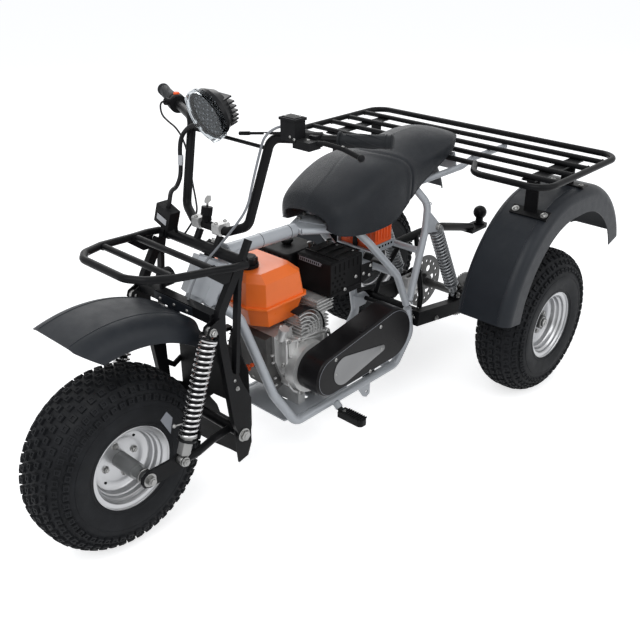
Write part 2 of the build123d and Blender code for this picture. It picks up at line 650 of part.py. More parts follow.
with BuildPart() as leading_arms:
    rod((0.2 - LEG_IN, 303, 243), (LEG_IN - 0.2, 303, 243), 14)
    for turn in (-1, 1):
        tube([(turn * 112, 303, 243), (turn * 115, 235, 240), (turn * 134, 165, 242), (turn * 138, 104, 246)],
             11, bend=40)
        low_x = min(turn * 142, turn * 149)
        plate(side(low_x), [(118, 232), (118, 262), (97, 282), (70, 276), (0, 276), (-20, 266), (-24, 250),
                            (-18, 236), (0, 228), (80, 230)], 7, holes=[(0, TYRE_R, AXLE_R + 0.05)])
        rod((turn * 144, 97, 266), (turn * 172, 97, 266), 5.4)
    rod((-175, 303, 243), (175, 303, 243), 7.9)

with BuildPart() as front_axle:
    rod((-162, 0, TYRE_R), (162, 0, TYRE_R), AXLE_R)
    for turn in (-1, 1):
        rod((turn * 132, 0, TYRE_R), (turn * 141.8, 0, TYRE_R), 14)
        plane = side(149.2) if turn > 0 else side(-158.2)
        with BuildSketch(plane) as nut:
            with Locations((0, TYRE_R)):
                RegularPolygon(14, 6)
        extrude(amount=9)

with BuildPart() as front_shocks:
    shock(*FRONT_SHOCK)
    mirror(about=Plane.YZ)

with BuildPart() as front_springs:
    unit, unit_length = shock_line(*FRONT_SHOCK)
    spring(unit(60), unit(unit_length - 22), 18)
    mirror(about=Plane.YZ)


def rack_z(y):
    """Height of the front rack's rails, rising forward."""
    return 745 + 25 * (300 - y) / 240


with BuildPart() as front_rack:
    rail_x = LEG_X + LEG_W / 2 + RACK_R + 0.2
    half_run = [(rail_x, 330), (rail_x, 286), (164, 235), (150, 128), (122, 62), (84, 34)]
    loop = [(x, y, rack_z(y)) for x, y in half_run] + [(-x, y, rack_z(y)) for x, y in reversed(half_run)]
    tube(loop, RACK_R, bend=40)
    for slat_y, reach in ((129.0, 149.0), (240.0, 163.0)):
        rod((-reach, slat_y, rack_z(slat_y)), (reach, slat_y, rack_z(slat_y)), SLAT_R)
    for web_x in (160.0, -164.0):
        plate(side(web_x), [(205, 750), (298, 741), (281, 706), (262, 706)], 4)

with BuildPart() as front_fender:
    ahead = 18.0
    start_dir = Vector(0, -sin(radians(ahead)), cos(radians(ahead)))
    fender_plane = Plane(origin=(0, 0, 268), x_dir=(1, 0, 0), z_dir=Vector(1, 0, 0).cross(start_dir))
    with BuildSketch(fender_plane):
        with BuildLine():
            Line((-117, 338), (-120, 338))
            ThreePointArc((-120, 338), (-103, 381), (-64, 398))
            Line((-64, 398), (64, 398))
            ThreePointArc((64, 398), (103, 381), (120, 338))
            Line((120, 338), (117, 338))
            ThreePointArc((117, 338), (100.7, 379), (63, 395))
            Line((63, 395), (-63, 395))
            ThreePointArc((-63, 395), (-100.7, 379), (-117, 338))
        make_face()
    revolve(axis=Axis((0, 0, 268), (-1, 0, 0)), revolution_arc=54)
    plate(side(-130), [(-122, 641), (-68, 600), (-68, 570), (-132, 570), (-132, 641)], 260, mode=Mode.SUBTRACT)
    plate(across(227.8), [(-24, 590), (24, 590), (24, 600), (78, 604), (78, 626), (-78, 626), (-78, 604), (-24, 600)], 3)

with BuildPart() as handlebar:
    tube([(0, 366, 789), (65, 366, 789), (122, 388, 812), (150, 449, 1032), (424, 568, 1048)], BAR_R, bend=32)
    mirror(about=Plane.YZ)
    rod((-146, 442, 1006), (146, 442, 1006), 5)

BAR_END = Vector(424, 568, 1048)
BAR_WAY = (Vector(150, 449, 1032) - BAR_END).normalized()

with BuildPart() as grips:
    rod(BAR_END - BAR_WAY * 4, BAR_END + BAR_WAY * GRIP_LENGTH, GRIP_R)
    rod(BAR_END + BAR_WAY * (GRIP_LENGTH - 5), BAR_END + BAR_WAY * GRIP_LENGTH, 21)
    rod(BAR_END, BAR_END + BAR_WAY * (GRIP_LENGTH + 10), BAR_R, mode=Mode.SUBTRACT)
    mirror(about=Plane.YZ)

with BuildPart() as bar_clamps:
    for clamp_x in (-40.0, 40.0):
        block((clamp_x - 14, 347, 777.4), (clamp_x + 14, 387, 808))
    fillet(bar_clamps.edges().filter_by(Axis.X), 6)
    rod((-80, 366, 789), (80, 366, 789), BAR_R, mode=Mode.SUBTRACT)

with BuildPart() as brake_lever:
    rod(BAR_END + BAR_WAY * 168, BAR_END + BAR_WAY * 212, BAR_R + 6)
    block((194, 438, 1038), (242, 474, 1088))
    block((232, 440, 1024), (286, 480, 1044))
    tube([(262, 462, 1036), (300, 476, 1040), (345, 489, 1034), (404, 489, 1022)], 6, bend=40)
    with Locations((404, 489, 1022)):
        Sphere(9)
    rod((196, 446, 1052), (80, 442, 1032), 3.5)
    rod((80, 442, 1032), (46, 441, 1026), 5)
    rod(BAR_END + BAR_WAY * 140, BAR_END + BAR_WAY * 320, BAR_R, mode=Mode.SUBTRACT)

with BuildPart() as throttle_housing:
    far_end = Vector(-BAR_END.X, BAR_END.Y, BAR_END.Z)
    far_way = Vector(-BAR_WAY.X, BAR_WAY.Y, BAR_WAY.Z)
    rod(far_end + far_way * 128, far_end + far_way * 168, 24)
    rod(far_end + far_way * 148, far_end + far_way * 148 + Vector(0, -40, 10), 10)
    rod(far_end + far_way * 110, far_end + far_way * 190, BAR_R, mode=Mode.SUBTRACT)

LAMP = Vector(-13, 385, 1071)
LAMP_WAY = Vector(-0.09, -0.94, -0.33).normalized()
LAMP_R = 62.0
lamp_face = Plane(origin=LAMP, x_dir=LAMP_WAY.cross(Vector(0, 0, 1)), z_dir=-LAMP_WAY)
with BuildPart() as headlight:
    with BuildSketch(lamp_face):
        Circle(LAMP_R)
    extrude(amount=22)
    with BuildSketch(lamp_face.offset(22)):
        Circle(LAMP_R)
    extrude(amount=24, taper=32)
    for fin in range(7):
        drop = -42.0 + 12.0 * fin
        with BuildSketch(lamp_face.offset(34), mode=Mode.PRIVATE) as rib:
            with Locations((0, drop)):
                Rectangle(2 * (54.0 ** 2 - drop ** 2) ** 0.5, 4)
        extrude(rib.sketch, amount=26)
    with BuildSketch(lamp_face, mode=Mode.PRIVATE) as bowl:
        Circle(LAMP_R - 5)
    extrude(bowl.sketch, amount=8, mode=Mode.SUBTRACT)
    block((-20, 431, 1011.2), (-10, 447, 1068))
    block((-20, 420, 1030), (-10, 440, 1060))

with BuildPart() as headlight_lens:
    with BuildSketch(lamp_face.offset(-4), mode=Mode.PRIVATE) as lens_edge:
        Circle(LAMP_R + 6)
        Circle(LAMP_R + 0.3, mode=Mode.SUBTRACT)
    extrude(lens_edge.sketch, amount=12)
    with BuildSketch(lamp_face.offset(-8)):
        Circle(LAMP_R + 6)
    extrude(amount=5)

with BuildPart() as front_electrics:
    with Locations(Location((-112, 313, 803), (0, 20, 0))):
        Box(58, 34, 56)
    block((-118, 336, 752.2), (-108, 342, 800))
    block((-118, 328, 790), (-108, 342, 800))
    rod((-12, 364, 816), (-12, 369, 838), 15)
    rod((-12, 366, 789 + BAR_R + 0.2), (-12, 365, 820), 12)
    rod((-68, 246, 658), (-68, 274, 658), 25)
    block((-72, 240, 629.2), (-64, 250, 650))

with BuildPart() as brake_hose:
    cord([(193.8, 452, 1066), (178, 450, 1066), (154, 424, 1044), (140, 420, 1003), (131, 398, 921), (131, 381, 866),
          (104, 361, 816), (72, 328, 760), (38, 306, 713), (36, 262, 665), (36, 248, 629.2)], 3.2)

with BuildPart() as wiring_loom:
    cord([(-59, 419.5, 1035), (-104, 414, 1030), (-152, 414, 996), (-156, 404, 960), (-153, 402, 890), (-146, 378, 858),
          (-120, 338, 864), (-96, 314, 850), (-102.3, 313, 829.6)], 6)

with BuildPart() as throttle_cable:
    cord([(-288.5, 468.8, 1050.2), (-287, 450, 1054), (-281, 446, 1020), (-240, 438, 1008), (-196, 429, 1001), (-168, 430, 972),
          (-156, 436, 910), (-138, 424, 868), (-118, 417, 822), (-98, 404, 790), (-86, 366, 766), (-84, 346, 752.1)], 2.6)

pieces = {
    "frame_neck": frame_neck,
    "cradle": cradle,
    "rear_frame": rear_frame,
    "foot_pegs": foot_pegs,
    "crankcase": crankcase,
    "engine_shroud": engine_shroud,
    "cylinder": cylinder,
    "fuel_tank": fuel_tank,
    "fuel_cap": fuel_cap,
    "muffler": muffler,
    "air_filter": air_filter,
    "recoil_starter": recoil_starter,
    "belt_cover": belt_cover,
    "battery": battery,
    "seat": seat,
    "swing_arm": swing_arm,
    "rear_shocks": rear_shocks,
    "rear_springs": rear_springs,
    "rear_rack": rear_rack,
    "rack_posts": rack_posts,
    "rear_fender_left": rear_fender_left,
    "rear_fender_right": rear_fender_right,
    "tow_hitch": tow_hitch,
    "brake_caliper": brake_caliper,
    "axle_shaft": axle_shaft,
    "axle_discs": axle_discs,
    "rear_tyre_left": rear_tyre_left,
    "rear_tyre_right": rear_tyre_right,
    "rear_rim_left": rear_rim_left,
    "rear_rim_right": rear_rim_right,
    "front_tyre": front_tyre,
    "front_rim": front_rim,
    "front_hub": front_hub,
    "fork_crown": fork_crown,
    "fork_leg_left": fork_leg_left,
    "fork_leg_right": fork_leg_right,
    "mud_flap": mud_flap,
    "leading_arms": leading_arms,
    "front_axle": front_axle,
    "front_shocks": front_shocks,
    "front_springs": front_springs,
    "front_rack": front_rack,
    "front_fender": front_fender,
    "handlebar": handlebar,
    "grips": grips,
    "bar_clamps": bar_clamps,
    "brake_lever": brake_lever,
    "throttle_housing": throttle_housing,
    "headlight": headlight,
    "headlight_lens": headlight_lens,
    "front_electrics": front_electrics,
    "brake_hose": brake_hose,
    "wiring_loom": wiring_loom,
    "throttle_cable": throttle_cable,
}
os.makedirs("parts", exist_ok=True)
for label, piece in pieces.items():
    piece.part.label = label
    export_step(piece.part.moved(Location((0, -FRONT_REACH, 0))), "parts/" + label + ".step")
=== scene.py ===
"""Looks of the motor trike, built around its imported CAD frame.

Metres, +X to the rider's left, -Y forward, +Z up.

Piece gathers its shapes in millimetres with the front axle at y 0,
the way part.py is drawn; at() moves them here.
"""

import bmesh
import bpy
import json
from math import acos, atan2, cos, exp, pi, radians, sin, sqrt
from mathutils import Matrix, Vector


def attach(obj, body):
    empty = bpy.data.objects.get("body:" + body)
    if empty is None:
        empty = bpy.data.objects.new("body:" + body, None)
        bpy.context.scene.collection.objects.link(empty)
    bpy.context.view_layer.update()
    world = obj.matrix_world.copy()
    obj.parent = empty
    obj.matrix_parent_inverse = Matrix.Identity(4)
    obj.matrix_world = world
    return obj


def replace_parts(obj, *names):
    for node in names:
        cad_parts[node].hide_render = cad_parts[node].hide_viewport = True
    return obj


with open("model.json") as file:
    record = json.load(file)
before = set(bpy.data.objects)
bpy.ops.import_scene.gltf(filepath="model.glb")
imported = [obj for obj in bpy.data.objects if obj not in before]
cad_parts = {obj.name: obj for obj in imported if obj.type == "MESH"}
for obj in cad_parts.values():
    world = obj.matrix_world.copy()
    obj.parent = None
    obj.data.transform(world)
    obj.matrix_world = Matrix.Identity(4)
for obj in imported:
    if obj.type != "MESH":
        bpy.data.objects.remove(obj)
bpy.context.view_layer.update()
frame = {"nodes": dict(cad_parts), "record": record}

# Where the CAD stands, in metres; its wheels, in millimetres
FRONT_Y = -0.798
WHEELBASE = 1443
REAR_X = 379
AXLE_Z = 252

LEFT = (1, 0, 0)
AHEAD = (0, -1, 0)
UP = (0, 0, 1)

# ------------------------------------------------------------------ camera, light and floor

CAMERA_AZ = radians(43.0)
CAMERA_EL = radians(27.0)
CAMERA_AT = Vector((1.6234, -0.9567 + FRONT_Y, 1.5706))
FOCAL = 36 * 845.8 / 640


def set_camera():
    data = bpy.data.cameras.new("camera")
    data.lens = FOCAL
    data.sensor_width = 36
    camera = bpy.data.objects.new("camera", data)
    bpy.context.scene.collection.objects.link(camera)
    back = Vector((sin(CAMERA_AZ) * cos(CAMERA_EL), -cos(CAMERA_AZ) * cos(CAMERA_EL), sin(CAMERA_EL)))
    right = Vector((cos(CAMERA_AZ), sin(CAMERA_AZ), 0))
    up = back.cross(right)
    turn = Matrix((right, up, back)).transposed().to_4x4()
    camera.matrix_world = Matrix.Translation(CAMERA_AT) @ turn
    bpy.context.scene.camera = camera


def area_light(name, place, aim, size, power):
    data = bpy.data.lights.new(name, "AREA")
    data.energy = power
    data.size = size
    lamp = bpy.data.objects.new(name, data)
    lamp.location = place
    lamp.rotation_euler = (Vector(aim) - Vector(place)).to_track_quat("-Z", "Y").to_euler()
    bpy.context.scene.collection.objects.link(lamp)


def feed(shader, **inputs):
    """Give a node's inputs a value each, or another node's output; _ stands for a space in a name."""
    for name, value in inputs.items():
        socket = shader.inputs[name.replace("_", " ")]
        if isinstance(value, bpy.types.NodeSocket):
            shader.id_data.links.new(value, socket)
        else:
            socket.default_value = value


def node(tree, kind, out, *sources, **inputs):
    """Output of a new shader node. Sources go to its first inputs; names in lower case are its settings."""
    made = tree.nodes.new("ShaderNode" + kind)
    for socket, source in zip(made.inputs, sources):
        tree.links.new(source, socket)
    for name, value in inputs.items():
        if name[0].islower():
            setattr(made, name, value)
        else:
            feed(made, **{name: value})
    return made.outputs[out]


def empty_tree(owner):
    owner.use_nodes = True
    owner.node_tree.nodes.clear()
    return owner.node_tree


def show(tree, kind, shader):
    """Link a shader to the tree's new output node."""
    feed(tree.nodes.new("ShaderNodeOutput" + kind), Surface=shader)


def background_rays(tree):
    """1 for camera, mirror and glass rays, 0 for the rays that light the object."""
    rays = tree.nodes.new("ShaderNodeLightPath").outputs
    first = node(tree, "Math", 0, rays["Is Camera Ray"], rays["Is Transmission Ray"], operation="MAXIMUM")
    return node(tree, "Math", 0, first, rays["Is Glossy Ray"], operation="MAXIMUM")


def set_world():
    world = bpy.data.worlds.new("studio")
    bpy.context.scene.world = world
    tree = empty_tree(world)
    glow = node(tree, "Background", 0, Color=(0.80, 0.83, 0.88, 1), Strength=0.50)
    plain = node(tree, "Background", 0, Color=(1, 1, 1, 1), Strength=1.0)
    show(tree, "World", node(tree, "MixShader", 0, background_rays(tree), glow, plain))
    bpy.context.scene.view_settings.view_transform = "Standard"


def set_floor():
    bpy.ops.mesh.primitive_plane_add(size=160, location=(0, 0, -0.0005))
    floor = bpy.context.object
    floor.name = "floor"
    mat = bpy.data.materials.new("floor_paper")
    tree = empty_tree(mat)
    paper = node(tree, "BsdfDiffuse", 0, Color=(0.72, 0.72, 0.72, 1))
    glow = node(tree, "Emission", 0, Color=(1, 1, 1, 1), Strength=0.68)
    lit = node(tree, "AddShader", 0, paper, glow)
    show(tree, "Material", node(tree, "MixShader", 0, background_rays(tree), paper, lit))
    floor.data.materials.append(mat)


# ------------------------------------------------------------------ materials


def new_material(name):
    """Material, its tree, its shader and the object's own coordinates."""
    mat = bpy.data.materials.new(name)
    mat.use_nodes = True
    tree = mat.node_tree
    return mat, tree, tree.nodes["Principled BSDF"], node(tree, "TexCoord", "Object")


def surface(name, colour, rough=0.5, metal=0.0, coat=0.0, shine=0.5, tint=0.12, tint_scale=9.0, grain=0.0,
            grain_scale=400.0, rough_spread=0.12, dust=0.0):
    """Painted, moulded or metal finish: colour drift, uneven gloss, fine relief and dust on top faces."""
    mat, tree, shader, place = new_material(name)
    ramp = tree.nodes.new("ShaderNodeValToRGB")
    feed(ramp, Fac=node(tree, "TexNoise", "Fac", Vector=place, Scale=tint_scale, Detail=5))
    low, high = ramp.color_ramp.elements
    low.color = (*[c * (1 - tint) for c in colour], 1)
    high.color = (*[min(1, c * (1 + tint) + 0.002) for c in colour], 1)
    low.position = 0.3
    high.position = 0.7
    base = ramp.outputs["Color"]
    if dust > 0:
        facing = node(tree, "SeparateXYZ", "Z", node(tree, "NewGeometry", "Normal"))
        specks = node(tree, "TexNoise", "Fac", Vector=place, Scale=35, Detail=8)
        amount = node(tree, "Math", 0, facing, specks, operation="MULTIPLY")
        reach = node(tree, "MapRange", "Result", Value=amount, From_Min=0.3, From_Max=0.75, To_Max=dust)
        base = node(tree, "Mix", "Result", data_type="RGBA", Factor=reach, A=base, B=(0.30, 0.30, 0.29, 1))
    sheen = node(tree, "TexNoise", "Fac", Vector=place, Scale=40, Detail=6)
    gloss = node(tree, "MapRange", "Result", Value=sheen, To_Min=max(0.03, rough - rough_spread),
                 To_Max=min(1, rough + rough_spread))
    feed(shader, Metallic=metal, Specular_IOR_Level=shine, Coat_Weight=coat, Coat_Roughness=0.15,
         Base_Color=base, Roughness=gloss)
    if grain > 0:
        relief = node(tree, "TexNoise", "Fac", Vector=place, Scale=grain_scale, Detail=4)
        feed(shader, Normal=node(tree, "Bump", "Normal", Strength=grain, Distance=0.0006, Height=relief))
    return mat


def vinyl(name, colour):
    """Grained seat vinyl: a cell pattern of fine creases over soft unevenness."""
    mat = surface(name, colour, rough=0.40, shine=0.20, tint=0.10, tint_scale=14, rough_spread=0.08)
    tree = mat.node_tree
    place = node(tree, "TexCoord", "Object")
    cells = node(tree, "TexVoronoi", "Distance", feature="DISTANCE_TO_EDGE", Vector=place, Scale=620)
    crease = node(tree, "MapRange", "Result", Value=cells, From_Max=0.12)
    fine = node(tree, "Bump", "Normal", Strength=0.35, Distance=0.0004, Height=crease)
    swell = node(tree, "TexNoise", "Fac", Vector=place, Scale=26)
    broad = node(tree, "Bump", "Normal", Strength=0.2, Distance=0.003, Height=swell, Normal=fine)
    feed(tree.nodes["Principled BSDF"], Normal=broad)
    return mat


def clear_plastic(name):
    """Clear moulded plastic with faint haze."""
    mat, tree, shader, place = new_material(name)
    haze = node(tree, "TexNoise", "Fac", Vector=place, Scale=60)
    gloss = node(tree, "MapRange", "Result", Value=haze, To_Min=0.01, To_Max=0.05)
    feed(shader, Base_Color=(0.66, 0.69, 0.71, 1), Transmission_Weight=1.0, Specular_IOR_Level=0.2, IOR=1.12,
         Roughness=gloss)
    return mat


FINISH = {slot: surface(slot, **look) for slot, look in {
    "frame_grey": dict(colour=(0.375, 0.395, 0.42), rough=0.42, metal=0.15, coat=0.1, tint=0.05, grain=0.12,
                       dust=0.06),
    "black_steel": dict(colour=(0.0050, 0.0052, 0.0060), rough=0.38, shine=0.09, coat=0.01, tint=0.25,
                        grain=0.2, grain_scale=700, dust=0.04),
    "charcoal_fender": dict(colour=(0.0115, 0.0142, 0.0186), rough=0.42, shine=0.21, tint=0.08, grain=0.3,
                            grain_scale=520, dust=0.03),
    "tank_orange": dict(colour=(0.87, 0.165, 0.02), rough=0.33, shine=0.35, coat=0.12, tint=0.04, grain=0.05),
    "black_plastic": dict(colour=(0.0060, 0.0062, 0.0070), rough=0.5, shine=0.09, tint=0.2, grain=0.3,
                          grain_scale=600, dust=0.04),
    "black_heat": dict(colour=(0.0045, 0.0045, 0.0050), rough=0.42, shine=0.09, tint=0.3, grain=0.3,
                       grain_scale=500, dust=0.04),
    "battery_red": dict(colour=(0.90, 0.115, 0.02), rough=0.42, shine=0.3, tint=0.05, grain=0.15),
    "spring_chrome": dict(colour=(0.50, 0.50, 0.505), rough=0.18, metal=1.0, tint=0.06),
    "spring_grey": dict(colour=(0.25, 0.26, 0.27), rough=0.36, metal=0.6, tint=0.1, dust=0.05),
    "damper_black": dict(colour=(0.009, 0.0095, 0.0105), rough=0.34, shine=0.12, coat=0.02, tint=0.2,
                         grain=0.15),
    "rim_silver": dict(colour=(0.47, 0.475, 0.485), rough=0.31, metal=0.9, coat=0.05, tint=0.03,
                       rough_spread=0.04),
    "tyre_rubber": dict(colour=(0.0098, 0.0106, 0.0122), rough=0.62, shine=0.13, tint=0.2, tint_scale=22,
                        grain=0.35, grain_scale=240, dust=0.06),
    "grip_rubber": dict(colour=(0.0115, 0.0130, 0.0150), rough=0.6, shine=0.17, tint=0.15, grain=0.4),
    "hose_grey": dict(colour=(0.20, 0.21, 0.225), rough=0.4, tint=0.1, grain=0.15),
    "loom_black": dict(colour=(0.008, 0.008, 0.009), rough=0.5, shine=0.18, tint=0.2, grain=0.4),
    "cover_black": dict(colour=(0.0058, 0.0054, 0.0062), rough=0.32, shine=0.12, coat=0.02, tint=0.2,
                        grain=0.05),
}.items()}
FINISH["aluminium"] = surface("cast_aluminium", (0.52, 0.52, 0.515), rough=0.44, metal=0.6, grain=0.5,
                              grain_scale=260, tint=0.14, tint_scale=24, dust=0.08)
FINISH["seat_vinyl"] = vinyl("seat_vinyl", (0.0082, 0.0104, 0.0140))
FINISH["steel"] = surface("zinc_steel", (0.29, 0.29, 0.285), rough=0.3, metal=0.95, tint=0.12, tint_scale=60,
                          grain=0.1)
FINISH["lens"] = clear_plastic("lens")
HUB_GREY = surface("hub_grey", (0.21, 0.215, 0.215), rough=0.38, metal=0.7, tint=0.12, grain=0.2)
CLEVIS_GREY = surface("clevis_grey", (0.27, 0.27, 0.265), rough=0.4, metal=0.75, tint=0.1, grain=0.15)
AXLE_GREY = surface("axle_grey", (0.075, 0.075, 0.074), rough=0.42, metal=0.8, tint=0.14, tint_scale=30,
                    grain=0.15)
PLATE_GREY = surface("plate_grey", (0.20, 0.202, 0.205), rough=0.34, metal=0.9, tint=0.05)
DIODE = surface("diode", (0.26, 0.27, 0.29), rough=0.3, tint=0.05)
# Near-black: painted shade inside the holes and slots of the rims, heat guards and battery tray; also the
# black bands on the frame tube.
HOLE_SHADE_AND_BAND_BLACK = surface("hole_shade_and_band_black", (0.002, 0.002, 0.002), rough=0.9, shine=0.1, tint=0.3)
PALE_TAPE = surface("pale_tape", (0.50, 0.51, 0.53), rough=0.5, tint=0.05, grain=0.2)
# Mid grey of the spring tag and the heat guard's strip; also the painted highlight along the belt cover's
# edge.
TAG_AND_HIGHLIGHT_GREY = surface("tag_and_highlight_grey", (0.17, 0.18, 0.20), rough=0.4, tint=0.08, grain=0.1)
SHROUD_DARK = surface("shroud_dark", (0.055, 0.054, 0.052), rough=0.5, metal=0.4, tint=0.25, tint_scale=30,
                      grain=0.4)
LAMP_BOARD = surface("lamp_board", (0.05, 0.052, 0.054), rough=0.6, tint=0.1)
NODE_FINISH = {"front_hub": HUB_GREY, "engine_shroud": SHROUD_DARK, "axle_discs": AXLE_GREY,
               "axle_shaft": AXLE_GREY}


def dress_frame():
    """Give every CAD node the finish of its slot."""
    for part in frame["record"]["subparts"]:
        node = frame["nodes"][part["node"]]
        node.data.materials.clear()
        node.data.materials.append(NODE_FINISH.get(part["node"], FINISH[part["material_slot"]]))


# ------------------------------------------------------------------ cords


def at(x, y, z):
    """Point drawn in millimetres with the front axle at y 0, in the shared frame."""
    return Vector((x / 1000, y / 1000 + FRONT_Y, z / 1000))


def cord(name, node, route, radius, slot):
    """Free cable on a smooth spline whose control points are the CAD route's points."""
    curve = bpy.data.curves.new(name, "CURVE")
    curve.dimensions = "3D"
    curve.bevel_depth = radius / 1000
    curve.bevel_resolution = 5
    curve.resolution_u = 12
    curve.use_fill_caps = True
    line = curve.splines.new("NURBS")
    line.points.add(len(route) - 1)
    for point, place in zip(line.points, route):
        point.co = (*at(*place), 1)
    line.order_u = 3
    line.use_endpoint_u = True
    obj = bpy.data.objects.new(name, curve)
    bpy.context.scene.collection.objects.link(obj)
    curve.materials.append(FINISH[slot])
    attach(obj, "fork")
    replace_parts(obj, node)


def lay_cords():
    cord("brake_hose_line", "brake_hose",
         [(193.8, 452, 1066), (178, 450, 1066), (154, 424, 1044), (140, 420, 1003), (131, 398, 921),
          (131, 381, 866), (104, 361, 816), (72, 328, 760), (38, 306, 713), (36, 262, 665), (36, 248, 629.2)],
         3.2, "hose_grey")
    cord("wiring_loom_line", "wiring_loom",
         [(-59, 419.5, 1035), (-104, 414, 1030), (-152, 414, 996), (-156, 404, 960), (-153, 402, 890),
          (-146, 378, 858), (-120, 338, 864), (-96, 314, 850), (-102.3, 313, 829.6)],
         6, "loom_black")
    cord("throttle_cable_line", "throttle_cable",
         [(-288.5, 468.8, 1050.2), (-287, 450, 1054), (-281, 446, 1020), (-240, 438, 1008), (-196, 429, 1001),
          (-168, 430, 972), (-156, 436, 910), (-138, 424, 868), (-118, 417, 822), (-98, 404, 790),
          (-86, 366, 766), (-84, 346, 752.1)],
         2.6, "loom_black")


# ------------------------------------------------------------------ mesh helpers


def smooth_run(points, per_span=6):
    """Catmull-Rom curve through points of any dimension."""
    out = []
    last = len(points) - 1
    for i in range(last):
        p0 = points[max(i - 1, 0)]
        p1 = points[i]
        p2 = points[i + 1]
        p3 = points[min(i + 2, last)]
        for k in range(per_span):
            t = k / per_span
            out.append(tuple(
                0.5 * (2 * b + (c - a) * t + (2 * a - 5 * b + 4 * c - d) * t * t
                       + (3 * b - a - 3 * c + d) * t ** 3)
                for a, b, c, d in zip(p0, p1, p2, p3)))
    out.append(tuple(points[-1]))
    return out


def turns(count, start=0):
    """Angles of a full turn in equal steps, from a start in degrees."""
    return [radians(start) + 2 * pi * k / count for k in range(count)]


def rect(x0, y0, x1, y1):
    return [(x0, y0), (x1, y0), (x1, y1), (x0, y1)]


class Piece:
    """Closed shapes gathered into one mesh."""

    def __init__(self):
        self.verts = []
        self.faces = []

    def add(self, verts, faces):
        first = len(self.verts)
        self.verts += verts
        self.faces += [tuple(first + i for i in face) for face in faces]

    def lathe(self, start, way, profile, steps=24, loop=False, sweep=2 * pi, spin=0.0, side=None):
        """Turn (distance, radius) points about the line that leaves start along way."""
        way = Vector(way).normalized()
        side = way.orthogonal().normalized() if side is None else Vector(side).normalized()
        up = way.cross(side)
        start = Vector(start)
        whole = sweep > 2 * pi - 1e-6
        rings = steps if whole else steps + 1
        n = len(profile)
        verts = []
        for i in range(rings):
            a = spin + sweep * i / steps
            out = side * cos(a) + up * sin(a)
            verts += [start + way * d + out * r for d, r in profile]
        faces = []
        for i in range(steps):
            j = (i + 1) % rings
            faces += [(i * n + k, i * n + (k + 1) % n, j * n + (k + 1) % n, j * n + k)
                      for k in range(n if loop else n - 1)]
        if not loop:
            faces.append(tuple(i * n for i in range(rings)))
            faces.append(tuple(i * n + n - 1 for i in reversed(range(rings))))
        elif not whole:
            faces.append(tuple(range(n)))
            faces.append(tuple((rings - 1) * n + k for k in reversed(range(n))))
        self.add(verts, faces)

    def bolt(self, place, way, size, height=5.0, washer=1.25):
        """Hexagon head on a washer; size is the head's half width across corners."""
        way = Vector(way).normalized()
        place = Vector(place)
        if washer:
            wide = size * washer
            self.lathe(place - way * 0.4, way, [(0, wide), (1.7, wide), (2.1, wide - 0.6)], 28)
        self.lathe(place + way * 1.4, way, [(0, size), (height * 0.8, size), (height, size * 0.84)], 6)
        self.lathe(place + way * (height + 1.2), way, [(0, size * 0.5), (1.4, size * 0.5),
                                                       (2.0, size * 0.4)], 16)

    def dome(self, place, way, size, height=3.0):
        """Round button head with a socket in it."""
        way = Vector(way).normalized()
        self.lathe(Vector(place) - way * 0.4, way,
                   [(0, size), (height * 0.35, size), (height * 0.75, size * 0.82), (height, size * 0.5),
                    (height * 0.95, size * 0.4), (height * 0.5, size * 0.36)], 20)

    def ring(self, centre, way, radius, thick, steps=40, sweep=2 * pi, side=None):
        """Round bead, as left by welding one tube to another."""
        profile = [(thick * sin(2 * pi * k / 8), radius + thick * cos(2 * pi * k / 8)) for k in range(8)]
        self.lathe(centre, way, profile, steps, loop=True, sweep=sweep, side=side)

    def band(self, outer, inner, lift):
        """Flat closed band between two loops of points, thickened by lift."""
        n = len(outer)
        loops = outer + inner
        faces = []
        for k in range(n):
            j = (k + 1) % n
            faces += [(k, n + k, n + j, j), (2 * n + k, 2 * n + j, 3 * n + j, 3 * n + k),
                      (k, j, 2 * n + j, 2 * n + k), (n + k, 3 * n + k, 3 * n + j, n + j)]
        self.add(loops + [p + lift for p in loops], faces)

    def pipe(self, points, radius, steps=10, spans=6):
        """Round bar through points, on a smooth curve when there are more than two."""
        run = [Vector(p) for p in (smooth_run(points, spans) if len(points) > 2 else points)]
        side = None
        verts = []
        for i, here in enumerate(run):
            way = (run[min(i + 1, len(run) - 1)] - run[max(i - 1, 0)]).normalized()
            side = (way.orthogonal() if side is None else side - way * side.dot(way)).normalized()
            up = way.cross(side)
            verts += [here + (side * cos(2 * pi * k / steps) + up * sin(2 * pi * k / steps)) * radius
                      for k in range(steps)]
        faces = []
        for i in range(len(run) - 1):
            for k in range(steps):
                m = (k + 1) % steps
                faces.append((i * steps + k, i * steps + m, (i + 1) * steps + m, (i + 1) * steps + k))
        faces.append(tuple(reversed(range(steps))))
        faces.append(tuple((len(run) - 1) * steps + k for k in range(steps)))
        self.add(verts, faces)

    def slab(self, origin, u, v, outline, thick):
        """Flat plate of one outline, thickened along u x v."""
        u = Vector(u).normalized()
        v = Vector(v).normalized()
        lift = u.cross(v).normalized() * thick
        low = [Vector(origin) + u * a + v * b for a, b in outline]
        n = len(low)
        self.add(low + [p + lift for p in low],
                 [tuple(reversed(range(n))), tuple(range(n, 2 * n))]
                 + [(k, (k + 1) % n, n + (k + 1) % n, n + k) for k in range(n)])

    def on_side(self, x, outline, thick):
        self.slab((x, 0, 0), (0, 1, 0), (0, 0, 1), outline, thick)

    def on_front(self, y, outline, thick):
        self.slab((0, y, 0), (1, 0, 0), (0, 0, 1), outline, thick)

    def on_top(self, z, outline, thick):
        self.slab((0, 0, z), (1, 0, 0), (0, 1, 0), outline, thick)

    def box(self, low, high):
        (x0, y0, z0), (x1, y1, z1) = low, high
        self.on_top(z0, rect(x0, y0, x1, y1), z1 - z0)

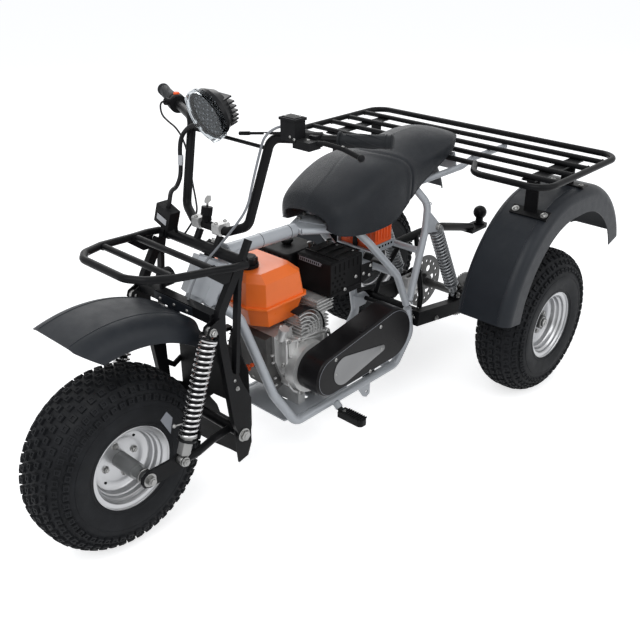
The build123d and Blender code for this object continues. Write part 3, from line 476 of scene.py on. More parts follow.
    def make(self, name, slot, body="chassis", finish=None, bevel=0.0, angle=35.0):
        """The finished object, slotted and riding on its body."""
        mesh = bpy.data.meshes.new(name)
        mesh.from_pydata([at(*v) for v in self.verts], [], self.faces)
        mesh.validate()
        work = bmesh.new()
        work.from_mesh(mesh)
        bmesh.ops.recalc_face_normals(work, faces=work.faces)
        if bevel:
            edges = [e for e in work.edges if len(e.link_faces) == 2 and e.calc_face_angle(0) > radians(30)]
            bmesh.ops.bevel(work, geom=edges, offset=bevel / 1000, segments=2, profile=0.5, affect="EDGES",
                            clamp_overlap=True)
        work.to_mesh(mesh)
        work.free()
        mesh.polygons.foreach_set("use_smooth", [True] * len(mesh.polygons))
        mesh.set_sharp_from_angle(angle=radians(angle))
        obj = bpy.data.objects.new(name, mesh)
        bpy.context.scene.collection.objects.link(obj)
        mesh.materials.append(finish or FINISH[slot])
        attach(obj, body)
        return obj


# ------------------------------------------------------------------ wheels

KNOB_H = 7.5
KNOB_ROW = 25.6
KNOBS_ROUND = 50
CARCASS = smooth_run([(0, 244.5), (28, 243.2), (52, 234.5), (69.5, 220.5), (80.0, 200.5), (86.0, 180),
                      (88.0, 163), (86.2, 146), (82.6, 130), (78.4, 119.5), (75.5, 117.6)], 5)
RIM_STEPS = [(79, 115), (78.4, 116.8), (76, 117.2), (73.8, 115.2), (72.6, 109), (71.5, 104), (68, 101.4),
             (61, 100.6),
             (57.5, 98.2), (55, 95.2), (48, 94.4), (43.5, 92.6), (41, 89.4), (34, 88.2), (28, 86.8)]


def along(profile, distance):
    """Point and outward normal of a profile at a distance from its start."""
    left = distance
    for (x0, r0), (x1, r1) in zip(profile, profile[1:]):
        step = sqrt((x1 - x0) ** 2 + (r1 - r0) ** 2)
        if left <= step or (x1, r1) == profile[-1]:
            t = left / step
            return x0 + (x1 - x0) * t, r0 + (r1 - r0) * t, (r0 - r1) / step, (x1 - x0) / step
        left -= step


def knobbly_tyre(name, node, x, y, body):
    """Carcass with fine ribs on its wall, and staggered square knobs with hollow tops."""
    piece = Piece()
    centre = Vector((x, y, AXLE_Z))
    half = CARCASS
    section = [(-u, r) for u, r in reversed(half)] + half[1:]
    inner = [(u * 0.88, max(104, r - 10)) for u, r in section]
    piece.lathe(centre, LEFT, section + inner[::-1], 144, loop=True)
    for side in (1, -1):
        for rib in (172.5, 128.0):
            u, r = min(half, key=lambda p: abs(p[1] - rib) if p[0] > 60 else 999)
            piece.lathe(centre, LEFT, [(side * (u - 2), r + 2.4), (side * (u + 1.0), r + 1.4),
                                            (side * (u + 1.0), r - 1.4), (side * (u - 2), r - 2.4)], 144,
                                            loop=True)
    knob = [(-1, -1), (1, -1), (1, 1), (-1, 1)]
    levels = [(-1.0, 9.0, 8.2), (KNOB_H, 7.6, 6.8), (KNOB_H, 4.4, 3.6), (KNOB_H - 2.6, 3.6, 2.8)]
    for side in (1, -1):
        for row in range(0 if side > 0 else 1, 5):
            for i in range(KNOBS_ROUND):
                turn = 2 * pi * (i + 0.5 * (row % 2)) / KNOBS_ROUND
                verts = []
                for lift, half_u, half_v in levels:
                    for u, v in knob:
                        px, r, nx, nr = along(half, abs(row * KNOB_ROW + v * half_v))
                        if row == 0 and v < 0:
                            px, nx = -px, -nx
                        a = turn + u * half_u / r
                        reach = r + nr * lift
                        verts.append(centre + Vector((side * (px + nx * lift), reach * cos(a),
                                                      reach * sin(a))))
                faces = [(4 * m + k, 4 * m + (k + 1) % 4, 4 * m + 4 + (k + 1) % 4, 4 * m + 4 + k)
                         for m in range(3) for k in range(4)]
                piece.add(verts, faces + [(12, 13, 14, 15), (3, 2, 1, 0)])
    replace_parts(piece.make(name, "tyre_rubber", body, angle=32), node)


def wheel_rim(name, node, x, y, face, hub_r, body):
    """Stepped steel rim with its dished disc towards face, +1 for the rider's left."""
    piece = Piece()
    centre = Vector((x, y, AXLE_Z))
    way = (face, 0, 0)
    barrel = RIM_STEPS + [(-u, r) for u, r in reversed(RIM_STEPS)]
    outside = [(-u, r + 2.6) for u, r in RIM_STEPS[3:]] + [(u, r + 2.6) for u, r in reversed(RIM_STEPS[3:])]
    piece.lathe(centre, way, barrel + outside, 128, loop=True)
    dish = [(30, 88), (25, 85), (21.5, 79), (19.5, 70), (20.5, 63), (21, 58), (20, 40), (20, hub_r)]
    piece.lathe(centre, way, dish + [(u - 3.4, r) for u, r in reversed(dish)], 128, loop=True)
    rim = piece.make(name, "rim_silver", body, angle=24)
    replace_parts(rim, node)
    # Near-black discs on the dish where its four slots are: painted shade in the slots.
    slots = Piece()
    for a in turns(4, 45):
        slots.lathe(centre + Vector((face * 19.2, 71 * cos(a), 71 * sin(a))), way, [(0, 4.6), (1.2, 4.6)], 16)
    slots.make(name + "_hole_shade", "rim_silver", body, finish=HOLE_SHADE_AND_BAND_BLACK)
    nuts = Piece()
    for a in turns(4, 12):
        nuts.bolt(centre + Vector((face * 20.4, 46 * cos(a), 46 * sin(a))), way, 8.2, 7)
    nuts.make(name + "_nuts", "steel", body)


def build_wheels():
    knobbly_tyre("front_tyre_tread", "front_tyre", 0, 0, "front_wheel")
    knobbly_tyre("rear_tyre_left_tread", "rear_tyre_left", REAR_X, WHEELBASE, "rear_axle")
    knobbly_tyre("rear_tyre_right_tread", "rear_tyre_right", -REAR_X, WHEELBASE, "rear_axle")
    wheel_rim("front_rim_steps", "front_rim", 0, 0, 1, 22.3, "front_wheel")
    wheel_rim("rear_rim_left_steps", "rear_rim_left", REAR_X, WHEELBASE, 1, 24.2, "rear_axle")
    wheel_rim("rear_rim_right_steps", "rear_rim_right", -REAR_X, WHEELBASE, -1, 24.2, "rear_axle")


# ------------------------------------------------------------------ seat

SEAT_STATIONS = [
    # y, half width, lower edge z, shoulder z, crown z
    (722, 90, 698, 720, 750), (748, 120, 682, 752, 786), (815, 138, 672, 784, 826), (900, 140, 666, 816, 864),
    (985, 134, 672, 826, 876), (1060, 124, 712, 828, 882), (1130, 119, 750, 832, 889),
    (1210, 118, 786, 846, 892), (1290, 112, 820, 858, 882), (1342, 88, 846, 860, 868)]
SEAT_HOLLOW = [
    # y, half width, top z
    (722, 83, 738), (748, 100, 766), (815, 112, 778), (900, 114, 784), (985, 112, 788), (1060, 108, 790),
    (1130, 107, 798), (1200, 107, 806), (1290, 100, 826), (1342, 78, 850)]


def b_spline(points, per_span):
    """Uniform cubic B-spline with clamped ends."""
    points = [points[0], points[0]] + list(points) + [points[-1], points[-1]]
    out = []
    for i in range(len(points) - 3):
        a, b, c, d = points[i:i + 4]
        for k in range(per_span):
            t = k / per_span
            w = ((1 - t) ** 3 / 6, (3 * t ** 3 - 6 * t * t + 4) / 6,
                 (-3 * t ** 3 + 3 * t * t + 3 * t + 1) / 6, t ** 3 / 6)
            out.append(tuple(w[0] * p + w[1] * q + w[2] * r + w[3] * s for p, q, r, s in zip(a, b, c, d)))
    out.append(tuple(points[-1]))
    return out


def seat_half(half, low, shoulder, crown, per_span=4):
    """Half of a seat section, (x, z) from the top's middle round the shoulder to the lower edge."""
    rise = crown - shoulder
    flank = shoulder - low
    control = [(0, crown)]
    for t in (0.3, 0.58, 0.8):
        control.append((half * t, crown - rise * t * t * 0.92))
    control += [(half * 0.97, shoulder - 0.04 * rise), (half * 1.01, shoulder - 0.34 * flank),
                (half * 1.005, low + 0.3 * flank), (half - 1.5, low)]
    return b_spline(control, per_span)


def seam_y(x):
    return 955 + 72 * (x / 100) ** 2


def seat_relief(x, y):
    """How far the cover sinks: the sewn seam, and the shallow crease down the middle ahead of it."""
    behind = y - seam_y(x)
    sunk = 2.6 * exp(-(behind / 4.2) ** 2)
    swell = 2.0 * exp(-((behind + 16) / 15) ** 2) + 1.4 * exp(-((behind - 16) / 15) ** 2)
    if 790 < y < 930:
        middle = 8 - 19 * (y - 800) / 120
        fade = sin(pi * (y - 790) / 140)
        sunk += 1.6 * fade * exp(-((x - middle) / 5) ** 2)
    return sunk - swell


def make_seat():
    """Saddle shell: rounded cover with a sewn seam, open below and at its nose."""
    rows = smooth_run(SEAT_STATIONS, 24)
    hollow = smooth_run(SEAT_HOLLOW, 24)
    outer = []
    for y, half, low, shoulder, crown in rows:
        right = seat_half(half, low, shoulder, crown)
        ring = [(-x, z) for x, z in reversed(right)] + right[1:]
        middle_z = (crown + low) / 2
        line = []
        for x, z in ring:
            out = Vector((x, 0, z - middle_z)).normalized()
            line.append(Vector((x, y, z)) - out * seat_relief(x, y))
        outer.append(line)
    inner = []
    for (y, half, top), row in zip(hollow, rows):
        right = seat_half(half, row[2] + 1.0, top - 14, top)
        ring = [(-x, z) for x, z in reversed(right)] + right[1:]
        inner.append([Vector((x, y, z)) for x, z in ring])
    piece = Piece()
    n = len(outer[0])
    m = len(outer)
    grid = [p for line in outer + inner for p in line]
    faces = []
    shift = m * n
    for i in range(m - 1):
        for k in range(i * n, i * n + n - 1):
            faces.append((k, k + 1, k + n + 1, k + n))
            faces.append((shift + k, shift + k + n, shift + k + n + 1, shift + k + 1))
        for k in (i * n, i * n + n - 1):
            faces.append((k, k + n, shift + k + n, shift + k))
    for i in (0, m - 1):
        for k in range(i * n, i * n + n - 1):
            faces.append((k, k + 1, shift + k + 1, shift + k))
    piece.add(grid, faces)
    seat = piece.make("seat_cover", "seat_vinyl", angle=50)
    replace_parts(seat, "seat")
    piping = Piece()
    line = []
    for k in range(-24, 25):
        x = 98 * sin(pi / 2 * k / 24)
        y = seam_y(x) - 3.4
        row = min(rows, key=lambda r: abs(r[0] - y))
        right = seat_half(*row[1:], per_span=10)
        z = min(right, key=lambda p: abs(p[0] - abs(x)))[1]
        line.append((x, y, z - 0.6))
    piping.pipe(line, 1.3, 8, 2)
    hem = [outer[i][n - 1] + Vector((-1.5, 0, 1.5)) for i in range(0, m, 6)]
    piping.pipe(hem, 2.4, 8, 2)
    piping.pipe([Vector((-p.x, p.y, p.z)) for p in hem], 2.4, 8, 2)
    piping.make("seat_piping", "seat_vinyl")


# ------------------------------------------------------------------ fork and controls

STEER_UP = Vector((0, 0.5, sqrt(0.75)))
HEAD = Vector((0, 373, 738))
BAR_END = Vector((424, 568, 1048))
BAR_WAY = (Vector((150, 449, 1032)) - BAR_END).normalized()
SHOCK_FOOT = Vector((158, 97, 266))
SHOCK_HEAD = Vector((158, 215, 592))
LAMP = Vector((-13, 385, 1071))
LAMP_WAY = Vector((-0.09, -0.94, -0.33)).normalized()
LAMP_SIDE = LAMP_WAY.cross(Vector(UP)).normalized()
LAMP_UP = LAMP_WAY.cross(LAMP_SIDE)
LAMP_BACK = -7.9


def mirrored(place, turn):
    """The point or direction itself for turn 1, its twin on the rider's right for -1."""
    return Vector((turn * place[0], place[1], place[2]))


def both_sides(rows):
    for turn in (1, -1):
        for place, way, *rest in rows:
            yield (mirrored(place, turn), mirrored(way, turn), *rest)


def lamp_point(radius, a, ahead):
    """Point at an angle round the lamp's axis, ahead of its middle."""
    return LAMP + LAMP_WAY * ahead + (LAMP_SIDE * cos(a) + LAMP_UP * sin(a)) * radius


def detail_shocks():
    clevis = Piece()
    caps = Piece()
    for turn in (1, -1):
        low = mirrored(SHOCK_FOOT, turn)
        shock = mirrored(SHOCK_HEAD, turn) - low
        way = shock.normalized()
        stem = (-turn * 0.15, -0.98, 0.12)
        knob = low + way * 106 + Vector(stem).normalized() * 48
        clevis.lathe(low + way * 15, way, [(0, 15.5), (4, 18.6), (48, 18.6), (52, 15.5)], 6, spin=0.3)
        clevis.lathe(low + way * 66, way, [(0, 21), (2, 24.6), (5, 24.6), (7, 21)], 28)
        clevis.lathe(low + way * 106, stem, [(16, 2.0), (45, 2.0)], 12)
        clevis.lathe(knob + Vector((0, 5.5, 0)), AHEAD,
                     [(0, 2), (1.2, 4.2), (3.6, 5.6), (6.4, 5.6), (8.8, 4.2), (10.4, 2)], 16)
        caps.lathe(low + way * (shock.length - 25), way,
                   [(0, 22), (1.5, 25.4), (5.5, 25.4), (8, 17), (9, 15)], 32)
    clevis.make("shock_clevises", "aluminium", "fork", finish=CLEVIS_GREY, bevel=0.5)
    caps.make("shock_caps", "spring_chrome", "fork")
    tag = Piece()
    tag.on_side(146, [(71, 420), (87, 395), (77, 352), (51, 404)], 0.9)
    tag.make("spring_tag", "hose_grey", "fork", finish=TAG_AND_HIGHLIGHT_GREY)


def detail_bar():
    far = mirrored(BAR_END, -1)
    far_way = mirrored(BAR_WAY, -1)
    controls = Piece()
    controls.box((191, 435, 1086), (245, 477, 1093))
    controls.box((196, 440, 1092.6), (240, 472, 1094.8))
    controls.lathe(far + far_way * 131, far_way,
                   [(0, 21), (2, 25.5), (12, 25.5), (13, 24.4), (22, 24.4), (23, 25.5), (33, 25.5),
                    (35, 21)], 36)
    controls.box((252, 474, 1036), (275, 492, 1052))
    controls.make("control_housings", "black_plastic", "fork", bevel=1.6)

    grip = Piece()
    for turn in (1, -1):
        end = mirrored(BAR_END, turn)
        way = mirrored(BAR_WAY, turn)
        side = way.orthogonal().normalized()
        up = way.cross(side)
        for start in turns(5):
            line = []
            for k in range(13):
                a = start + 2.0 * k / 12
                line.append(end + way * (14 + 7.6 * k) + (side * cos(a) + up * sin(a)) * 15.9)
            grip.pipe(line, 1.5, 8, 3)
        for d in (-3, 9, 116):
            grip.ring(end + way * d, way, 16.2, 1.4, 36)
        grip.lathe(end - way * 4, -way, [(-1, 15.6), (2.5, 15.2), (4.5, 12.5), (5, 6)], 32)
    grip.make("grip_ribs", "grip_rubber", "fork")

    marks = Piece()
    for place, way, size in (((203, 446, 1094.6), UP, 3.2), ((233, 466, 1094.6), UP, 3.2),
                             ((262, 462, 1044), UP, 5.5), ((350, 487, 1039.6), (0, 0.2, 1), 4.2),
                             ((240, 437.6, 1046), AHEAD, 3.6), ((226, 437.6, 1050), AHEAD, 3.6)):
        marks.dome(place, way, size, 2.6)
    marks.lathe((193.9, 452, 1066), (-1, 0, 0), [(0, 6.5), (4, 6.5), (5, 5), (10, 5), (11, 4)], 6)
    key = [(0, 0), (6, 0), (6, 10), (14, 16), (12, 30), (1, 33), (-7, 26), (-8, 15), (0, 10)]
    marks.slab((-13, 366, 838), (0, 1, 0), (0.2, 0, 1), key, 2)
    marks.make("control_screws", "steel", "fork")

    button = Piece()
    button.lathe(far + far_way * 148 + Vector((0, 0, 24)), UP, [(0, 9), (3, 9), (5.5, 6.5)], 24)
    button.make("stop_button", "battery_red", "fork")

    tape = Piece()
    tape.lathe((-152.2, 401, 914), (0.05, 0.06, 1), [(0, 6.9), (0.4, 7.3), (25.6, 7.3), (26, 6.9)], 24)
    tape.slab((-134, 295.6, 796), (1, 0, -0.35), (0.35, 0, 1), rect(0, 0, 38, 17), 0.8)
    tape.make("loom_tape", "hose_grey", "fork", finish=PALE_TAPE)


def detail_lamp():
    """Board with its diodes under the lens, and the lens's flange with three lobes for its screws."""
    spots = [(radius, a) for radius, count in ((0, 1), (17, 6), (34, 12), (48, 18)) for a in turns(count)]
    board = Piece()
    board.lathe(lamp_point(0, 0, LAMP_BACK), LAMP_WAY, [(0, 56.4), (0.8, 56.4)], 64)
    leds = Piece()
    for radius, a in spots:
        board.lathe(lamp_point(radius, a, LAMP_BACK + 0.7), LAMP_WAY, [(0, 5.2), (0.7, 5.2), (1.0, 4.6)], 20)
        leds.lathe(lamp_point(radius, a, LAMP_BACK + 1.6), LAMP_WAY, [(0, 3.0), (0.8, 2.6), (1.3, 1.4)], 14)
    for a in turns(3, 90):
        leds.dome(lamp_point(64.5, a, 8.2), LAMP_WAY, 2.8, 1.6)
    board.make("lamp_board", "damper_black", "fork", finish=LAMP_BOARD)
    leds.make("lamp_diodes", "aluminium", "fork", finish=DIODE)
    flange = Piece()
    flange.band([lamp_point(69.0 + 5.5 * cos(3 * (a - radians(90))) ** 8, a, 3.5) for a in turns(72)],
                [lamp_point(66.8, a, 3.5) for a in turns(72)], LAMP_WAY * 3)
    flange.make("lens_flange", "lens", "fork")


def detail_fork():
    bolts = Piece()
    for place, way, size, height in both_sides([
            ((169.2, 215, 592), LEFT, 9.5, 8), ((165.4, 303, 243), LEFT, 15.5, 10),
            ((171.0, 97, 266), LEFT, 10.5, 7), ((165.2, 288, 397), LEFT, 5.0, 3.5)]):
        bolts.bolt(place, way, size, height)
    for place, way in both_sides([((165.2, 281, 424), LEFT)]):
        bolts.dome(place, way, 4.6, 3)
    for x in (-52, 6, 58):
        bolts.dome((x, 224.6, 612), AHEAD, 5, 3)
    for place, way, profile, steps in both_sides([
            ((150.6, 215, 592), LEFT, [(0, 12.8), (1.2, 13.2), (14, 13.2), (15.2, 12.8)], 28),
            ((149.4, 97, 266), LEFT, [(0, 13.6), (17, 13.6), (18, 13.0)], 28),
            ((149.4, 0, AXLE_Z), LEFT, [(0, 18.5), (1.8, 18.5), (2.2, 18)], 32),
            ((158.4, 0, AXLE_Z), LEFT, [(0, 11.5), (3.5, 11.5), (4.2, 8.5), (8, 8.5), (8.8, 7.6)], 24),
            ((119, 0, AXLE_Z), LEFT, [(0, 17), (0.8, 20), (7, 20), (7.8, 19)], 32)]):
        bolts.lathe(place, way, profile, steps)
    for x in (-40, 40):
        for y in (352, 382):
            bolts.dome((x, y, 808), UP, 5, 4.5)
    cap = HEAD + STEER_UP * 1.5
    bolts.lathe(cap, STEER_UP, [(0, 17), (6, 17), (7.5, 15)], 6)
    bolts.lathe(cap + STEER_UP * 7, STEER_UP, [(0, 9), (4, 9), (5, 8)], 20)
    bolts.make("fork_bolts", "steel", "fork")
    detail_shocks()
    detail_bar()
    detail_lamp()

    welds = Piece()
    for place, way, radius, thick in both_sides([
            ((139.5, 129, 762.8125), LEFT, 9.2, 1.7), ((153.5, 240, 751.25), LEFT, 9.2, 1.7),
            ((147, 343, 737), LEFT, 15.6, 2.2), ((146, 303, 243), LEFT, 14.8, 2.0),
            ((142.5, 442, 1006), LEFT, 5.8, 1.4)]):
        welds.ring(place, way, radius, thick)
    for x in (147.5, -147.5):
        for y in (228, 256):
            welds.pipe([(x, y, 601), (x, y, 629)], 2.2, 8)
    welds.ring(HEAD + STEER_UP * -166, STEER_UP, 16.5, 1.6)
    welds.make("fork_welds", "black_steel", "fork")


# ------------------------------------------------------------------ engine, frame and tail


def spoke(a):
    """Direction in a wheel's plane, from the rear at 0 to the top at a quarter turn."""
    return Vector((0, cos(a), sin(a)))


# The rear fender's long arc, and the tighter one that takes over where they meet and ends at the top
FENDER = Vector((0, 1535, 308))
FENDER_R = 430
FENDER_MEET = radians(128)
FENDER_TOP_R = 335
FENDER_TOP = FENDER + spoke(FENDER_MEET) * (FENDER_R - FENDER_TOP_R)


def circle(cy, cz, radius, first, last, steps):
    return [(cy + radius * cos(first + (last - first) * k / steps),
             cz + radius * sin(first + (last - first) * k / steps)) for k in range(steps + 1)]


def belt_outline(small, large, steps=40):
    """Outline of a belt round two circles, (y, z, radius) each, the smaller ahead."""
    (y0, z0, r0), (y1, z1, r1) = small, large
    lean = atan2(z1 - z0, y1 - y0)
    apart = sqrt((y1 - y0) ** 2 + (z1 - z0) ** 2)
    wrap = acos((r0 - r1) / apart)
    return (circle(y0, z0, r0, lean + wrap, lean + 2 * pi - wrap, steps)
            + circle(y1, z1, r1, lean - wrap, lean + wrap, steps))


def detail_belt_cover():
    # Lighter grey band, lifted 0.7 mm off the cover's outer face round its outline: painted highlight along
    # the cover's edge.
    line = Piece()
    edges = [[Vector((200.2, y, z)) for y, z in belt_outline((625, 301, 58 + out), (908, 328, 80 + out))]
             for out in (0, 1.2)]
    line.band(*edges, Vector((0.7, 0, 0)))
    line.make("cover_highlight_line", "cover_black", finish=TAG_AND_HIGHLIGHT_GREY)
    plate = Piece()
    plate.on_side(200.3, belt_outline((852, 305, 11), (675, 301, 46)), 1.6)
    plate.make("cover_plate", "steel", finish=PLATE_GREY, bevel=0.4)
    studs = Piece()
    for x, y, z, size, height in ((200.2, 841, 383, 6.2, 3.5), (200.2, 796, 246, 6.2, 3.5),
                                  (200.2, 638, 352, 6.2, 3.5),
                                  (201.9, 848, 304, 4.6, 2.6), (201.9, 638, 301, 4.0, 2.2)):
        studs.dome((x, y, z), LEFT, size, height)
    studs.make("cover_studs", "steel")


def detail_crankcase():
    ribs = Piece()
    for y0, z0, y1, z1 in ((566, 400, 690, 372), (556, 352, 736, 326), (574, 256, 590, 396),
                           (640, 220, 640, 384), (690, 214, 706, 372), (600, 222, 700, 230)):
        run = Vector((0, y1 - y0, z1 - z0))
        way = run.normalized()
        across = Vector((0, -way.z, way.y))
        ribs.slab(Vector((87, y0, z0)) - across * 2.5, way, across, rect(0, 0, run.length, 5), 6)
    rim = [(552, 404), (600, 390), (722, 375), (746, 300), (702, 218), (604, 210), (558, 262)]
    ribs.pipe([(83, y, z) for y, z in rim + rim[:1]], 4.5, 8, 4)
    for y, z in rim:
        ribs.lathe((60, y, z), LEFT, [(0, 9.5), (30, 9.5), (31.5, 8)], 20)
    for z in (250, 275, 330, 355):
        lean = 0.12 * (340 - z)
        ribs.box((-40, 518 + lean, z), (58, 528 + lean, z + 5))
    for x in (-30, 0, 30, 58):
        ribs.box((x, 560, 423), (x + 5, 604, 429))
    ribs.lathe((50, 596, 300), AHEAD, [(0, 24), (40, 24), (44, 20)], 28)
    ribs.make("crankcase_ribs", "aluminium", bevel=1.2)
    studs = Piece()
    for y, z in rim:
        studs.bolt((91, y, z), LEFT, 5.6, 4)
    for place, way in (((66, 548, 446), UP), ((89, 640, 348), LEFT), ((52, 552, 300), AHEAD),
                       ((62.4, 556, 312), LEFT), ((62.4, 548, 398), LEFT), ((-38, 534, 250), AHEAD),
                       ((40, 534, 250), AHEAD)):
        studs.bolt(place, way, 6, 4.5)
    studs.bolt((85, 735, 462), LEFT, 8, 5)
    studs.bolt((100, 725, 492), LEFT, 6.5, 4)
    studs.make("engine_bolts", "steel")


def detail_cylinder():
    fins = Piece()
    for k in range(6):
        radius = 18 + 11.6 * k
        fins.on_side(76, circle(613, 408, radius, radians(108), radians(-14), 18)
                     + circle(613, 408, radius + 3.2, radians(-14), radians(108), 18), 22)
    fins.make("cylinder_fins", "aluminium", bevel=0.4)
    guard = Piece()
    guard.on_side(70, circle(613, 408, 82, radians(112), radians(-4), 18)
                  + circle(613, 408, 79, radians(-4), radians(112), 18), 34)
    guard.box((-66, 560, 402), (-44, 640, 436))
    guard.make("engine_guard", "black_plastic", bevel=0.8)


def detail_starter():
    """Recoil starter's slots, rings and spokes, round the crankshaft on the rider's right."""
    vents = Piece()
    hub = Vector((0, 622, 301))
    for a in turns(24):
        u = spoke(a)
        v = spoke(a + pi / 2)
        vents.slab(hub + Vector((-156, 0, 0)) + u * 78 - v * 2.5, u, v, rect(0, 0, 16, 5), -0.1)
    for x, radius in ((-148, 88), (-161, 60), (-161, 34)):
        vents.ring(hub + Vector((x, 0, 0)), LEFT, radius, 1.6, 64)
    for a in turns(12):
        face = hub + Vector((-162, 0, 0))
        vents.pipe([face + spoke(a) * 36, face + spoke(a + 0.2) * 72], 2.2, 8)
    vents.lathe((-161.5, 622, 301), (-1, 0, 0), [(0, 26), (3, 26), (4.5, 22)], 40)
    vents.lathe((-120, 530, 372), (0, -0.8, 0.6), [(0, 9), (8, 9), (10, 6)], 20)
    vents.box((-150, 508, 376), (-128, 530, 388))
    vents.make("recoil_ribs", "black_plastic")

    red = Piece()
    red.lathe((-20, 494, 300), (0.2, -1, 0.3), [(0, 9), (3, 11), (10, 11), (13, 7)], 20)
    red.lathe((0, 492, 318), (0.5, -1, 0.4), [(0, 6), (10, 6), (12, 4)], 16)
    red.make("red_plugs", "battery_red")

    lobes = Piece()
    outline = []
    for a in turns(96):
        r = 29.5 + 2.2 * cos(8 * a)
        outline.append((-46 + r * cos(a), 528 + r * sin(a)))
    lobes.on_top(621, outline, 17)
    lobes.lathe((-46, 528, 637.5), UP, [(0, 24), (3.4, 24), (4.4, 21), (4.0, 12)], 40)
    lobes.make("cap_lobes", "black_plastic", bevel=1.2)


def detail_exhaust():
    heat = Piece()
    heat.on_front(711.8, [(-20, 582), (72, 582), (84, 597), (70, 600), (-20, 600)], 2.4)
    for z in (500, 596):
        heat.on_side(110.2, rect(716, z, 846, z + 5), 2)
    for x in (10, 45, 80):
        heat.box((x, 756, 602.6), (x + 2.5, 848, 606))
    heat.box((-24, 745, 602.6), (110, 749, 607))
    heat.on_side(110.3, [(846, 500), (900, 506), (900, 556), (846, 560)], 2.2)
    heat.make("heat_guards", "black_heat", bevel=0.5)
    strip = Piece()
    strip.on_front(709.2, [(-14, 585), (70, 585), (78, 595), (68, 597.5), (-14, 597.5)], 0.8)
    strip.make("guard_strip", "black_heat", finish=TAG_AND_HIGHLIGHT_GREY)
    # Near-black patches on the guards: painted shade in their slots and round holes.
    holes = Piece()
    for k in range(10):
        holes.on_front(708.2, rect(8 * k - 9, 587.5, 8 * k - 5, 595), 0.4)
    for row in range(4):
        for col in range(3):
            holes.lathe((110.0, 722 + 20 * col + 10 * (row % 2), 512 + 14 * row), LEFT, [(0, 4), (0.9, 4)],
                        12)
    for k in range(6):
        holes.on_side(110.0, rect(730 + 20 * k, 566, 734 + 20 * k, 592), 0.9)
    holes.make("guard_hole_shade", "black_heat", finish=HOLE_SHADE_AND_BAND_BLACK)
    studs = Piece()
    for y, z in ((773, 504), (858, 528), (822, 530), (890, 545), (885, 515)):
        studs.dome((112, y, z), LEFT, 6, 3.5)
    for x in (20, 84):
        studs.dome((x, 838, 602.6), UP, 4.5, 3)
    for place in ((-44, 788, 592), (-1, 827, 603)):
        studs.lathe(place, UP, [(0, 7), (9, 7), (11, 10), (16, 10), (18, 7)], 20)
    studs.make("muffler_bolts", "steel")


def detail_filter():
    lid = Piece()
    lid.on_side(-190.6, rect(700, 500, 820, 506), -2)
    lid.box((-192, 688, 528), (-43, 832, 534))
    lid.lathe((-118, 760, 591), UP, [(0, 14), (8, 14), (8, 20), (16, 20), (18, 16)], 8)
    for k in range(6):
        lid.box((-180 + 22 * k, 686, 545), (-174 + 22 * k, 691, 582))
    lid.make("filter_ribs", "black_plastic", bevel=0.8)


def detail_frame():
    bands = Piece()
    drop = 12 / 264
    for y in (536, 647):
        bands.ring((0, y, 704 - drop * (y - 408)), (0, 1, -drop), 19.6, 1.1, 48)
    bands.make("tube_bands", "black_plastic", finish=HOLE_SHADE_AND_BAND_BLACK)
    beads = Piece()
    beads.ring((0, 412, 703.8), (0, 1, -0.045), 20.4, 2.2, 48)
    for d in (-38, -158):
        beads.ring(HEAD + STEER_UP * d, STEER_UP, 25.2, 1.8, 56)
    for place, way, radius, thick in both_sides([
            ((107, 600, 145), LEFT, 12.6, 1.8), ((107, 745, 145), LEFT, 12.6, 1.8),
            ((107, 1000, 145), LEFT, 12.6, 1.8),
            ((109, 1136, 520), LEFT, 11.6, 1.6), ((109, 1015, 478), LEFT, 11.6, 1.6),
            ((120, 1085, 352), (0, 0.12, 1), 13.4, 2.0), ((120, 1160, 676), (0, -0.1, 1), 12.4, 1.4)]):
        beads.ring(place, way, radius, thick)
    for x in (1, -1):
        beads.pipe([(x * 121, 822, 132), (x * 121, 893, 132)], 1.8, 8)
        beads.ring((x * 119.6, 878, 102), LEFT, 7.4, 1.5, 28)
        beads.pipe([(x * 96, 1010, 526.2), (x * 20, 1010, 526.2)], 1.4, 8)
    beads.make("frame_beads", "frame_grey")
    studs = Piece()
    for place, way, size, height in both_sides([
            ((132.2, 1206, 589), LEFT, 9.5, 7), ((134.4, 1354, 290), LEFT, 8.5, 6),
            ((116.4, 1125, 285), LEFT, 10, 7), ((140.4, 1222, 252), LEFT, 7, 5)]):
        studs.bolt(place, way, size, height)
    for turn in (1, -1):
        for x in (352, 452):
            out = spoke(radians(121.6))
            studs.lathe(FENDER + Vector((turn * x, 0, 0)) + out * (FENDER_R + 5.2), out,
                        [(0, 11.5), (1.6, 11.5), (2.2, 7.5), (4, 7), (6, 4.5), (6.4, 2)], 24)
            studs.dome((turn * x, 1529, 723.1), UP, 8, 4)
        studs.dome((turn * 166, 718, 122.2), UP, 6.5, 4)
        studs.dome((turn * 30, 1306, 790), AHEAD, 5, 3)
    for x, y, size in ((-62, 780, 6.5), (-46, 744, 5.5), (30, 776, 5.5)):
        studs.bolt((x, y, 695), UP, size, 4)
    for y in (1360, 1376):
        studs.dome((-79, y, 306), UP, 5, 4)
    for y, z in ((1336, 240), (1382, 240), (1342, 286), (1384, 286)):
        studs.dome((-62.2, y, z), LEFT, 5.5, 3.5)
        studs.dome((-98, y, z), (-1, 0, 0), 5.5, 3.5)
    studs.lathe((0, 1669, 424), UP, [(0, 14), (6, 14)], 6)
    studs.make("frame_bolts", "steel")
    wedge = Piece()
    wedge.on_top(695.4, [(-30, 722), (50, 752), (-34, 806)], 3)
    wedge.make("nose_gusset", "frame_grey", bevel=0.8)


